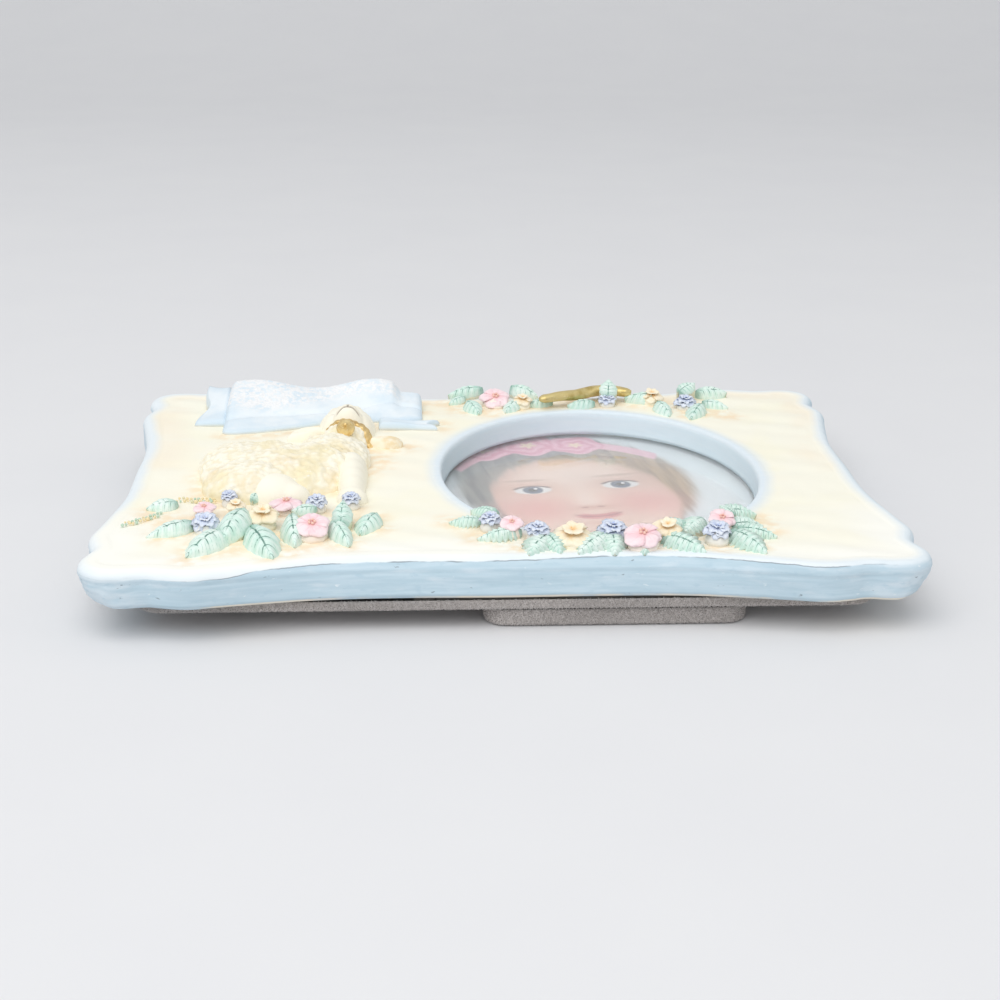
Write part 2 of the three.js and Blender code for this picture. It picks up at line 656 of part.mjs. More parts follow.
function buildBell() {
  const { x, y, radius, lift, mouth, height } = BELL;
  const base = Z_GROUND + lift - height / 2;
  const profile = [[0, base], [mouth, base], [radius, base + height / 2], [0, base + height]];
  return toSolid(turned(profile, x, y)).subtract(bodyCut);
}

addPart('collar_ribbon', buildCollar(), FINISHES.gilt);
addPart('collar_bell', buildBell(), FINISHES.gilt);

// Ribbon scroll

function scrollRing(share) {
  const { left, right, nearLeft, nearRight, far, low, trough, crest, waves, firstCrest } = SCROLL;
  const x = left + (right - left) * share;
  const near = nearLeft + (nearRight - nearLeft) * THREE.MathUtils.smoothstep(share, 0, 1);
  const swell = (1 + Math.cos(2 * Math.PI * waves * (share - firstCrest))) / 2;
  const nearTop = Z_GROUND + low;
  const farTop = Z_GROUND + trough + swell * (crest - trough);
  const section = [
    [near, Z_GROUND],
    [near, nearTop],
    [(near + far) / 2, (nearTop + farTop) / 2],
    [far, farTop],
    [far, Z_GROUND],
  ];
  return section.reverse().map(([sy, sz]) => new THREE.Vector3(x, sy, sz));
}

function buildScroll() {
  const rings = [];
  for (let i = 0; i <= SCROLL_STEPS; i += 1) {
    rings.push(scrollRing(i / SCROLL_STEPS));
  }
  return toSolid(loft(rings)).subtract(headCut);
}

addPart('banner_scroll', buildScroll(), FINISHES.scroll);
const tails = { banner_tail_left: TAIL_LEFT, banner_tail_right: TAIL_RIGHT };
for (const [name, outline] of Object.entries(tails)) {
  addPart(name, prism(polygon(outline), Z_GROUND, Z_GROUND + TAIL_HEIGHT), FINISHES.scroll);
}

// Sprays of leaves and their flowers

// A spray with its points moved to where its origin lies on the face
function placed(item) {
  const [x0, y0] = item.origin;
  const move = ([x, y]) => [x0 + x, y0 + y];
  return {
    bed: item.bed.map(move),
    tips: item.tips.map(move),
    flowers: item.flowers.map((bloom) => ({ ...bloom, x: x0 + bloom.x, y: y0 + bloom.y })),
  };
}

function flatCurve(points) {
  return new THREE.CatmullRomCurve3(points.map(([x, y]) => new THREE.Vector3(x, y, 0)));
}

function strip(points, width) {
  const left = [];
  const right = [];
  points.forEach((point, i) => {
    const ahead = points[Math.min(i + 1, points.length - 1)];
    const behind = points[Math.max(i - 1, 0)];
    const along = ahead.clone().sub(behind).normalize();
    const across = new THREE.Vector3(-along.y, along.x, 0).multiplyScalar(width / 2);
    left.push([point.x + across.x, point.y + across.y]);
    right.push([point.x - across.x, point.y - across.y]);
  });
  return toSolid(prism(polygon([...right, ...left.reverse()]), Z_GROUND, Z_GROUND + SPRAY_HEIGHT));
}

// A pointed leaf from root to tip, full at its edge and ridged along its midrib
function leaf(root, tip) {
  const along = tip.clone().sub(root);
  const length = along.length();
  const width = Math.min(length * LEAF_SPREAD, LEAF_MAX_WIDTH);
  const across = new THREE.Vector3(-along.y, along.x, 0).normalize();
  const ring = (spread, z) => {
    const near = [];
    const far = [];
    for (let i = 0; i <= LEAF_STEPS; i += 1) {
      const share = i / LEAF_STEPS;
      const bulge = Math.sin(Math.PI * share) * width + (1 - share) * LEAF_ROOT_WIDTH;
      const middle = root.clone().addScaledVector(along, share).setZ(z);
      near.push(middle.clone().addScaledVector(across, (-bulge * spread) / 2));
      far.push(middle.clone().addScaledVector(across, (bulge * spread) / 2));
    }
    far.pop();
    return [...near, ...far.reverse()];
  };
  const edge = Z_GROUND + SPRAY_HEIGHT / 2;
  return toSolid(loft([ring(1, Z_GROUND), ring(1, edge), ring(LEAF_RIDGE, Z_GROUND + SPRAY_HEIGHT)]));
}

function nearest(points, target) {
  return points.reduce((best, p) => (p.distanceTo(target) < best.distanceTo(target) ? p : best));
}

function buildSpray({ bed, tips, flowers }) {
  const path = flatCurve(bed).getSpacedPoints(BED_STEPS);
  const pieces = [strip(path, BED_WIDTH)];
  for (const [x, y] of tips) {
    const tip = new THREE.Vector3(x, y, 0);
    pieces.push(leaf(nearest(path, tip), tip));
  }
  for (const { x, y, radius } of flowers) {
    const seat = new THREE.Vector3(x, y, 0);
    const root = nearest(path, seat);
    const pad = new THREE.Shape().absarc(x, y, radius / 2, 0, 2 * Math.PI, false);
    pieces.push(toSolid(prism(pad, Z_GROUND, Z_GROUND + SPRAY_HEIGHT)));
    if (root.distanceTo(seat) > STEM_WIDTH) {
      pieces.push(strip([root, seat], STEM_WIDTH));
    }
  }
  return join(pieces);
}

// A five-petalled flower: a narrow base, spread petals, a hollow throat and a raised eye
function flower({ x, y, radius }) {
  const base = Z_GROUND + SPRAY_HEIGHT + BOND_LINE;
  const count = PETALS * PETAL_POINTS;
  const rings = FLOWER_ROWS.map(({ spread, rise }) => {
    const ring = [];
    for (let i = 0; i < count; i += 1) {
      const angle = (2 * Math.PI * i) / count;
      const reach = radius * spread * (1 - PETAL_NOTCH + PETAL_NOTCH * Math.cos(PETALS * angle));
      ring.push(new THREE.Vector3(
        x + reach * Math.cos(angle),
        y + reach * Math.sin(angle),
        base + rise * FLOWER_HEIGHT,
      ));
    }
    return ring;
  });
  return loft(rings);
}

for (const [place, item] of Object.entries(SPRAYS)) {
  const spray = placed(item);
  addPart(`${place}_leaf_spray`, buildSpray(spray), FINISHES.leaf);
  spray.flowers.forEach((bloom, i) => {
    addPart(`${place}_${bloom.tint}_flower_${i + 1}`, flower(bloom), FINISHES[bloom.tint]);
  });
}

function buildGilt() {
  const z = Z_GROUND + SPRAY_HEIGHT + BOND_LINE + GILT.radius;
  const [x0, y0] = GILT.origin;
  const path = new THREE.CatmullRomCurve3(GILT.points.map(([x, y]) => new THREE.Vector3(x0 + x, y0 + y, z)));
  const section = new THREE.Shape().absarc(0, 0, GILT.radius, 0, 2 * Math.PI, false);
  const options = { extrudePath: path, steps: BED_STEPS, curveSegments: CORNER_STEPS, bevelEnabled: false };
  return new THREE.ExtrudeGeometry(section, options);
}

addPart('gilt_ribbon', buildGilt(), FINISHES.gilt);

export default frame;
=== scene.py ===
import bmesh
import bpy
import math
import numpy as np
from mathutils import Matrix, Vector
from mathutils.bvhtree import BVHTree


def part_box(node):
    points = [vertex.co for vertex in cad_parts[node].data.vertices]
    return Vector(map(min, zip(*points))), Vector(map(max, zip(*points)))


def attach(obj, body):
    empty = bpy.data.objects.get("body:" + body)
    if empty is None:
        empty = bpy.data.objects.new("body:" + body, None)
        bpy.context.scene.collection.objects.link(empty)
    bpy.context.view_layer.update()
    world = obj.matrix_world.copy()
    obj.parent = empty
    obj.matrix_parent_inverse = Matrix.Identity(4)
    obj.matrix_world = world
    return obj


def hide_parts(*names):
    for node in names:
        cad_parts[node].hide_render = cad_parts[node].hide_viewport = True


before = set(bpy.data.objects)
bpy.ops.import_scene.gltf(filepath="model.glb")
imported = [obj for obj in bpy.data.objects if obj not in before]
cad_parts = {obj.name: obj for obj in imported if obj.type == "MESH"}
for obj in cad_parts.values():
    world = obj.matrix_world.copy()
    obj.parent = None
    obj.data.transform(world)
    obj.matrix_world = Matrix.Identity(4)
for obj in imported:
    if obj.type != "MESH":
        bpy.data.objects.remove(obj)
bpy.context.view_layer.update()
mm = 0.001
rng = np.random.default_rng(7)


# Node trees

class Value:
    # a socket of a node tree; arithmetic on it adds Math nodes
    def __init__(self, graph, socket):
        self.graph = graph
        self.socket = socket

    def calc(self, operation, *others):
        return self.graph.add("ShaderNodeMath", {"operation": operation}, dict(enumerate((self, *others))))

    def __add__(self, other):
        return self.calc("ADD", other)

    def __sub__(self, other):
        return self.calc("SUBTRACT", other)

    def __rsub__(self, other):
        return self.calc("MULTIPLY_ADD", -1, other)

    def __mul__(self, other):
        return self.calc("MULTIPLY", other)

    def __truediv__(self, other):
        return self.calc("DIVIDE", other)

    def __rtruediv__(self, other):
        return self.calc("POWER", -1) * other

    def __abs__(self):
        return self.calc("ABSOLUTE")

    __radd__ = __add__
    __rmul__ = __mul__

    def fade(self, low, high):  # 0 at low, 1 at high, smooth between; low may be the larger
        inputs = {0: self, 1: low, 2: high}
        return self.graph.add("ShaderNodeMapRange", {"interpolation_type": "SMOOTHSTEP"}, inputs)

    def coat(self, paint, share):  # another paint over this one
        return self.graph.mix(self, paint, share)


class Graph:
    def __init__(self, tree):
        self.tree = tree

    def add(self, kind, settings=None, inputs=None, output=0):
        node = self.tree.nodes.new(kind)
        for key, setting in (settings or {}).items():
            setattr(node, key, setting)
        self.feed(node, inputs or {})
        return Value(self, node.outputs[output])

    def feed(self, node, inputs):  # link or set its sockets
        for key, item in inputs.items():
            if isinstance(item, Value):
                self.tree.links.new(item.socket, node.inputs[key])
            else:
                node.inputs[key].default_value = item

    def spot(self, centre=(0, 0, 0), stretch=(1, 1, 1), turn=0):  # object coordinates in millimetres
        coords = self.add("ShaderNodeTexCoord", output="Object")
        inputs = {0: coords, "Location": [c * mm for c in centre], "Scale": [s * mm for s in stretch]}
        inputs["Rotation"] = (0, 0, math.radians(turn))
        return self.add("ShaderNodeMapping", {"vector_type": "TEXTURE"}, inputs)

    def noise(self, where, scale, detail=3):
        return self.add("ShaderNodeTexNoise", None, {"Vector": where, "Scale": scale, "Detail": detail})

    def cells(self, where, scale):
        return self.add("ShaderNodeTexVoronoi", None, {"Vector": where, "Scale": scale})

    def parts(self, vector):  # its x, y and z
        node = self.add("ShaderNodeSeparateXYZ", None, {0: vector}).socket.node
        return [Value(self, socket) for socket in node.outputs]

    def scaled(self, vector, share):
        return self.add("ShaderNodeVectorMath", {"operation": "SCALE"}, {0: vector, "Scale": share})

    def marks(self, *names):  # numbers stored on the mesh, in a paint
        return [self.add("ShaderNodeAttribute", {"attribute_name": n}, None, "Fac") for n in names]

    def field(self, name, kind="FLOAT"):  # one of them in a geometry tree
        return self.add("GeometryNodeInputNamedAttribute", {"data_type": kind}, {"Name": name})

    def store(self, geometry, name, value):
        settings = {"data_type": "FLOAT", "domain": "POINT"}
        inputs = {"Geometry": geometry, "Name": name, "Value": value}
        return self.add("GeometryNodeStoreNamedAttribute", settings, inputs)

    def join(self, *sets):
        joined = self.add("GeometryNodeJoinGeometry")
        for geometry in sets:
            self.tree.links.new(geometry.socket, joined.socket.node.inputs[0])
        return joined

    def mix(self, base, top, share):
        return self.add("ShaderNodeMix", {"data_type": "RGBA"}, {0: share, 6: tone(base), 7: tone(top)}, 2)

    def bump(self, height, strength, depth):  # depth in millimetres
        inputs = {"Height": height, "Strength": strength, "Distance": depth * mm}
        return self.add("ShaderNodeBump", None, inputs)


def tone(paint):  # from red, green and blue as the eye sees them, 0 to 255; sockets pass
    def straight(c):
        c /= 255
        return c / 12.92 if c <= 0.04045 else ((c + 0.055) / 1.055) ** 2.4
    return paint if isinstance(paint, Value) else (*map(straight, paint), 1)


def newPaint(name):
    material = bpy.data.materials.new(name)
    material.use_nodes = True
    graph = Graph(material.node_tree)
    shader = material.node_tree.nodes["Principled BSDF"]

    def lay(**values):  # colour, roughness and so on, linked or set
        graph.feed(shader, {paintSockets[key]: item for key, item in values.items()})
        return material
    return graph, lay


paintSockets = {"colour": "Base Color", "rough": "Roughness", "metal": "Metallic", "normal": "Normal",
                "sheen": "Sheen Weight", "shine": "Specular IOR Level", "clear": "Transmission Weight",
                "bend": "IOR"}


def newTree(name, sockets):
    tree = bpy.data.node_groups.new(name, "GeometryNodeTree")
    tree.interface.new_socket("Geometry", in_out="INPUT", socket_type="NodeSocketGeometry")
    tree.interface.new_socket("Geometry", in_out="OUTPUT", socket_type="NodeSocketGeometry")
    for label, kind in {**sockets, "Material": "Material"}.items():
        tree.interface.new_socket(label, in_out="INPUT", socket_type="NodeSocket" + kind)
    graph = Graph(tree)
    start = tree.nodes.new("NodeGroupInput")
    return graph, {s.name: Value(graph, s) for s in start.outputs if s.name}


def closeTree(graph, geometry, inputs):
    real = graph.add("GeometryNodeRealizeInstances", None, {0: geometry})
    coated = graph.add("GeometryNodeSetMaterial", None, {"Geometry": real, "Material": inputs["Material"]})
    end = graph.tree.nodes.new("NodeGroupOutput")
    graph.tree.links.new(coated.socket, end.inputs[0])
    return graph.tree


# Meshes, drawn in millimetres

def markPoints(piece, marks):  # numbers or vectors kept on its points
    for key, values in marks.items():
        values = np.asarray(values, np.float32)
        kind, field = ("FLOAT", "value") if values.ndim == 1 else ("FLOAT_VECTOR", "vector")
        piece.data.attributes.new(key, kind, "POINT").data.foreach_set(field, values.ravel())


def newObject(name, data):
    item = bpy.data.objects.new(name, data)
    bpy.context.scene.collection.objects.link(item)
    return item


def makeMesh(name, points, faces, marks=None):
    mesh = bpy.data.meshes.new(name)
    mesh.from_pydata((np.asarray(points, float) * mm).tolist(), [], [list(map(int, f)) for f in faces])
    mesh.shade_smooth()
    piece = newObject(name, mesh)
    markPoints(piece, marks or {})
    return piece


def bake(piece):  # modifiers into a plain mesh
    bpy.context.view_layer.update()
    solid = piece.evaluated_get(bpy.context.evaluated_depsgraph_get())
    mesh = bpy.data.meshes.new_from_object(solid)
    piece.modifiers.clear()
    piece.data = mesh
    return piece


def grow(piece, tree, **values):  # run a geometry tree on a piece, inputs by socket identifier
    modifier = piece.modifiers.new("grow", "NODES")
    modifier.node_group = tree
    for item in tree.interface.items_tree:
        if item.in_out == "INPUT" and item.name in values:
            modifier[item.identifier] = values[item.name]
    return bake(piece)


def settle(piece, material, body, slotName, *nodes):
    piece.data.materials.clear()
    piece.data.materials.append(material)
    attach(piece, body)
    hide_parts(*nodes)


def drop(*pieces):  # patterns that were only instanced
    for piece in pieces:
        bpy.data.objects.remove(piece)


def getPoints(piece):
    flat = np.zeros(len(piece.data.vertices) * 3)
    piece.data.vertices.foreach_get("co", flat)
    return flat.reshape(-1, 3) / mm


def setPoints(piece, points):
    piece.data.vertices.foreach_set("co", (np.asarray(points) * mm).ravel())
    piece.data.update()


def nodePoints(name):
    return getPoints(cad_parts[name])


def boxOf(name):
    low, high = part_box(name)
    return np.array(low) / mm, np.array(high) / mm


def ease(t):
    t = np.clip(t, 0, 1)
    return t * t * (3 - 2 * t)


def turns(count):  # angles once round
    return np.linspace(0, 2 * math.pi, count, endpoint=False)


def quarter(start, count):  # angles up to a right angle, from a share of it
    return np.linspace(start, 1, count) * math.pi / 2


def unit(rows):  # directions of length 1
    return rows / np.linalg.norm(rows, axis=1)[:, None]


def follow(at, stations, knots):  # places along a line of knots
    return np.column_stack([np.interp(at, stations, column) for column in np.transpose(knots)])


def caps(rows, columns):  # the two ends of a rolled-up grid
    return [tuple(range(columns)), tuple(range((rows - 1) * columns, rows * columns))]


def gridFaces(rows, columns, closed=False):
    across = columns if closed else columns - 1
    faces = []
    for r in range(rows - 1):
        for c in range(across):
            n = (c + 1) % columns
            faces.append((r * columns + c, r * columns + n, (r + 1) * columns + n, (r + 1) * columns + c))
    return faces


def sway(x, y, seed):  # smooth even unevenness, about -1 to 1
    out = 0
    r = np.random.default_rng(seed)
    for k in (0.09, 0.17, 0.31, 0.53):
        a, b, p, q = r.uniform(0, 2 * np.pi, 4)
        drift = np.sin(k * 0.6 * (x * np.cos(b) + y * np.sin(b)) + q)
        out = out + np.sin(k * (x * np.cos(a) + y * np.sin(a)) + p + 1.4 * drift)
    return out / 4


# Stage

view = {"elevation": 19.45, "swing": -3.259, "roll": 0.5785, "distance": 0.473, "lens": 64.64,
        "target": (0.00072, -0.01032, 0.0117)}
lights = {"sky": 0.68, "skyTint": (0.97, 0.985, 1, 1), "keyPower": 10, "keySize": 1.3,
          "keyPlace": (-0.3, -0.6, 1.15)}
floorValues = {"reach": 3000, "back": 900, "bend": 900, "rise": 2500, "tone": (226, 226, 228)}


def setCamera():
    lift, swing, roll = (math.radians(view[k]) for k in ("elevation", "swing", "roll"))
    flat = math.cos(lift)
    back = Vector((math.sin(swing) * flat, -math.cos(swing) * flat, math.sin(lift)))
    level = (-back).cross(Vector((0, 0, 1))).normalized()
    upright = level.cross(-back)
    right = level * math.cos(roll) + upright * math.sin(roll)
    up = upright * math.cos(roll) - level * math.sin(roll)
    lens = bpy.data.cameras.new("camera")
    lens.lens = view["lens"]
    lens.clip_start = 0.01
    camera = newObject("camera", lens)
    place = Matrix.Translation(Vector(view["target"]) + back * view["distance"])
    camera.matrix_world = place @ Matrix((right, up, back)).transposed().to_4x4()
    bpy.context.scene.camera = camera


def setLights():
    world = bpy.data.worlds.new("sky")
    world.use_nodes = True
    sky = world.node_tree.nodes["Background"]
    sky.inputs["Color"].default_value = lights["skyTint"]
    sky.inputs["Strength"].default_value = lights["sky"]
    bpy.context.scene.world = world
    lamp = bpy.data.lights.new("key", "AREA")
    lamp.energy = lights["keyPower"]
    lamp.size = lights["keySize"]
    key = newObject("key", lamp)
    place = Vector(lights["keyPlace"])
    key.matrix_world = Matrix.Translation(place) @ place.to_track_quat("Z", "Y").to_matrix().to_4x4()
    bpy.context.scene.view_settings.view_transform = "Standard"


def setFloor():
    reach, back, bend = (floorValues[k] for k in ("reach", "back", "bend"))
    profile = [(-reach, 0)]
    for a in quarter(0, 14):
        profile.append((back + bend * math.sin(a), bend * (1 - math.cos(a))))
    profile.append((back + bend, floorValues["rise"]))
    points = [(x, y, z) for y, z in profile for x in (-reach, reach)]
    floor = makeMesh("floor", points, [(i, i + 1, i + 3, i + 2) for i in range(0, len(points) - 2, 2)])
    graph, lay = newPaint("floor")
    grain = graph.noise(graph.spot(), 0.02)
    paint = lay(colour=graph.mix(floorValues["tone"], (230, 230, 231), grain), rough=0.85)
    floor.data.materials.append(paint)


setCamera()
setLights()
setFloor()
print("stage set")


# Plaque

plaqueValues = {"subSteps": 6, "edgeRound": 2.4, "lip": 0.25, "lipInner": 3.9, "lipOuter": 5.4, "step": 0.3,
                "ovalRound": 1.0, "ovalBead": 0.16, "ovalLip": 2.2, "ovalFoot": 3.4, "ovalDraft": 0.35,
                "faceRings": 42, "sideSteps": 12, "footRound": 1.0, "rearGrow": 0.9, "backInset": 1.4,
                "rebateGap": 0.3, "ripple": 0.22, "seam": 0.16, "seamDepth": 2.9, "dent": 0.2, "chip": 0.45,
                "cornerFrom": (88, 50), "cornerRun": (10, 14), "cornerPull": 3.6, "washAndShadeReach": 3.2,
                "windowClear": 1.12, "hollowClear": 4}
plaqueLow, plaqueHigh = boxOf("front_plaque")
faceZ = plaqueHigh[2]
rearZ = plaqueLow[2]
groundZ = faceZ + 0.1
glassLow, glassHigh = boxOf("window_glass")
glassTop = glassHigh[2]
glassLap = 2.7
windowX, windowY = (glassLow + glassHigh)[:2] / 2
windowRx, windowRy = (glassHigh - glassLow)[:2] / 2 - glassLap
farMark = 30  # edge or rim value of a place well away from it
levelGap = 0.02  # heights as near as this count as one


def outerRing(height, like=None):  # the CAD outline at one height, in order round the window
    points = nodePoints("front_plaque")
    level = points[np.abs(points[:, 2] - height) < levelGap][:, :2]
    level = np.unique(np.round(level, 4), axis=0)
    reach = np.hypot((level[:, 0] - windowX) / windowRx, (level[:, 1] - windowY) / windowRy)
    level = level[reach > plaqueValues["windowClear"]]
    if like is not None:  # leave out the hollow under the relief
        away = np.linalg.norm(level[:, None] - like[None], axis=2).min(1)
        level = level[away < plaqueValues["hollowClear"]]
    order = np.argsort(np.arctan2(level[:, 1] - windowY, level[:, 0] - windowX))
    return level[order]


def refine(ring, steps):  # closed smooth curve through the ring
    before, after, beyond = np.roll(ring, 1, 0), np.roll(ring, -1, 0), np.roll(ring, -2, 0)
    t = np.linspace(0, 1, steps, endpoint=False)[None, :, None]
    a, b, c, d = (r[:, None, :] for r in (before, ring, after, beyond))
    curve = 2 * b + (c - a) * t + (2 * a - 5 * b + 4 * c - d) * t ** 2
    curve = 0.5 * (curve + (3 * b - a - 3 * c + d) * t ** 3)
    return curve.reshape(-1, 2)


def inwards(ring, span):  # unit directions into a closed ring
    along = np.roll(ring, -span, 0) - np.roll(ring, span, 0)
    return unit(np.stack([-along[:, 1], along[:, 0]], 1))


def inset(ring, depth):  # inwards in small smoothed steps, so that lobes don't fold over
    ring = ring.copy()
    steps = max(1, math.ceil(abs(depth) / plaqueValues["step"]))
    for _ in range(steps):
        ring += inwards(ring, 2) * depth / steps
        ring += 0.12 * (np.roll(ring, 1, 0) + np.roll(ring, -1, 0) - 2 * ring)
    return ring


def groundRipple(x, y):  # brushed and combed ground, in millimetres
    fan = 0.5 * y + 0.2 * x + 1.3 * np.sin(0.05 * x + 0.4) + 0.9 * np.sin(0.07 * y + 0.06 * x)
    soft = 0.5 + 0.5 * sway(x, y, 3)
    return plaqueValues["ripple"] * (np.sin(fan) * soft + 0.5 * sway(1.6 * x, 2.4 * y, 5))


def buildPlaque():
    v = plaqueValues
    ring = outerRing(faceZ - v["edgeRound"])
    rows, marks = [], []
    waist = refine(ring, v["subSteps"])
    shoulder = v["edgeRound"] * (1 - math.sqrt(0.5))
    upper = refine(alignRing(outerRing(faceZ - shoulder), ring), v["subSteps"])
    rear = refine(alignRing(outerRing(rearZ, ring), ring), v["subSteps"])
    upper = inset(upper, -shoulder)
    rear = inset(rear, -v["rearGrow"])

    def outline(z):
        t = np.clip((faceZ - shoulder - z) / (v["edgeRound"] - shoulder), 0, 1)
        s = np.clip((faceZ - v["edgeRound"] - z) / (faceZ - v["edgeRound"] - rearZ), 0, 1)
        ring = upper * (1 - t) + (waist * (1 - s) + rear * s) * t
        ring[:, 0] -= np.sign(ring[:, 0]) * v["cornerPull"] * corner * s ** 1.6  # corners draw in below
        return ring

    corner = ease((np.abs(waist) - v["cornerFrom"]) / v["cornerRun"]).prod(1)
    count = len(waist)

    def addRow(flat, z, edge, rim):
        rows.append(np.column_stack([flat, np.broadcast_to(z, count)]))
        marks.append((np.broadcast_to(edge, count), np.broadcast_to(rim, count)))

    def oval(grow):
        away = waist - (windowX, windowY)
        angle = np.arctan2(away[:, 1] / windowRy, away[:, 0] / windowRx)
        out = np.column_stack([(windowRx + grow) * np.cos(angle), (windowRy + grow) * np.sin(angle)])
        return out + (windowX, windowY)

    # window wall, its rounded bead and the ground round it
    for z in np.linspace(glassTop, faceZ - v["ovalRound"], 7):
        draft = v["ovalDraft"] * (z - glassTop) / (faceZ - glassTop)
        addRow(oval(draft), z, farMark, -(faceZ - z))
    for a in quarter(0.15, 6):
        rise = v["ovalBead"] * math.sin(a)
        out = v["ovalRound"] * (1 - math.cos(a))
        z = faceZ + rise - v["ovalRound"] * (1 - math.sin(a))
        addRow(oval(v["ovalDraft"] + out), z, farMark, out)
    for t in np.linspace(0.2, 1, 6):
        reach = v["ovalLip"] + (v["ovalFoot"] - v["ovalLip"]) * t
        addRow(oval(reach), faceZ + v["ovalBead"] * (1 - ease(t)), farMark, reach)
    inner = oval(v["ovalFoot"])
    lipFoot = inset(upper, v["lipOuter"])
    span = np.linalg.norm(lipFoot - inner, axis=1)
    for t in np.linspace(0, 1, v["faceRings"] + 2)[1:-1]:
        flat = inner * (1 - t) + lipFoot * t
        near = np.minimum(v["ovalFoot"] + span * t, v["lipOuter"] + span * (1 - t))
        wave = groundRipple(flat[:, 0], flat[:, 1]) * ease((near - 3.4) / 4)
        addRow(flat, faceZ + wave, v["lipOuter"] + span * (1 - t), v["ovalFoot"] + span * t)
    # raised lip, rounded edge, side and foot
    for depth in np.linspace(v["lipOuter"], v["edgeRound"], 9):
        flat = inset(upper, depth)
        rise = v["lip"] * ease((v["lipOuter"] - depth) / (v["lipOuter"] - v["lipInner"]))
        addRow(flat, faceZ + rise, depth, farMark)
    for a in quarter(0.08, 10):
        z = faceZ + v["lip"] * math.cos(a) - v["edgeRound"] * (1 - math.cos(a))
        depth = v["edgeRound"] * (1 - math.sin(a))
        flat = outline(z)
        addRow(inset(flat, depth) if depth > 0.02 else flat, z, depth, farMark)
    for t in np.linspace(0, 1, v["sideSteps"] + 1)[1:]:
        z = faceZ - v["edgeRound"] + t * (rearZ + v["footRound"] - faceZ + v["edgeRound"])
        flat = outline(z)
        dent = v["dent"] * sway(waist[:, 0] * 1.3, waist[:, 1] * 1.3 + z * 4, 9)
        chip = v["chip"] * corner * sway(waist[:, 0] * 3, waist[:, 1] * 3 + z * 6, 10)
        dent = (dent + chip) * math.sin(math.pi * t)
        groove = v["seam"] * math.exp(-((faceZ - z - v["seamDepth"]) / 0.5) ** 2)
        addRow(flat + inwards(flat, 2) * (dent + groove)[:, None], z, -t * 7, farMark)
    for a in quarter(0.2, 4):
        z = rearZ + v["footRound"] * (1 - math.sin(a))
        addRow(inset(outline(z), v["footRound"] * (1 - math.cos(a)) + 0.3), z, -9, farMark)
    # flat back, rebate for the glass
    backEdge = inset(outline(rearZ), v["backInset"])
    rebate = oval(glassLap + v["rebateGap"])
    for t in np.linspace(0, 1, 8):
        addRow(backEdge * (1 - t) + rebate * t, rearZ, -12, farMark)
    for z in (rearZ + 0.2, glassTop):
        addRow(rebate, z, farMark, -3)
    points = np.concatenate(rows)
    faces = gridFaces(len(rows), count, closed=True)
    last = (len(rows) - 1) * count
    faces += [(last + i, last + (i + 1) % count, (i + 1) % count, i) for i in range(count)]
    edge = np.concatenate([m[0] for m in marks])
    rim = np.concatenate([m[1] for m in marks])
    return makeMesh("plaque", points, faces, {"edge": edge, "rim": rim, "washAndShade": washAndShadeOver(points)})


def alignRing(ring, like):  # start a ring where another one starts
    start = np.argmin(np.linalg.norm(ring - like[0], axis=1))
    return np.roll(ring, -start, 0)


def washAndShadeOver(points):  # how near the ground lies to the relief, for the ochre wash and painted contact shade round it
    nearest = np.full(len(points), 99.0)
    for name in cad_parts:
        if name.endswith(("leaf_spray", "lamb_body", "scroll", "lamb_ear_right", "tail_right")):
            for px, py in np.unique(np.round(nodePoints(name)[:, :2]), axis=0):
                nearest = np.minimum(nearest, np.hypot(points[:, 0] - px, points[:, 1] - py))
    return np.exp(-(nearest / plaqueValues["washAndShadeReach"]) ** 2)


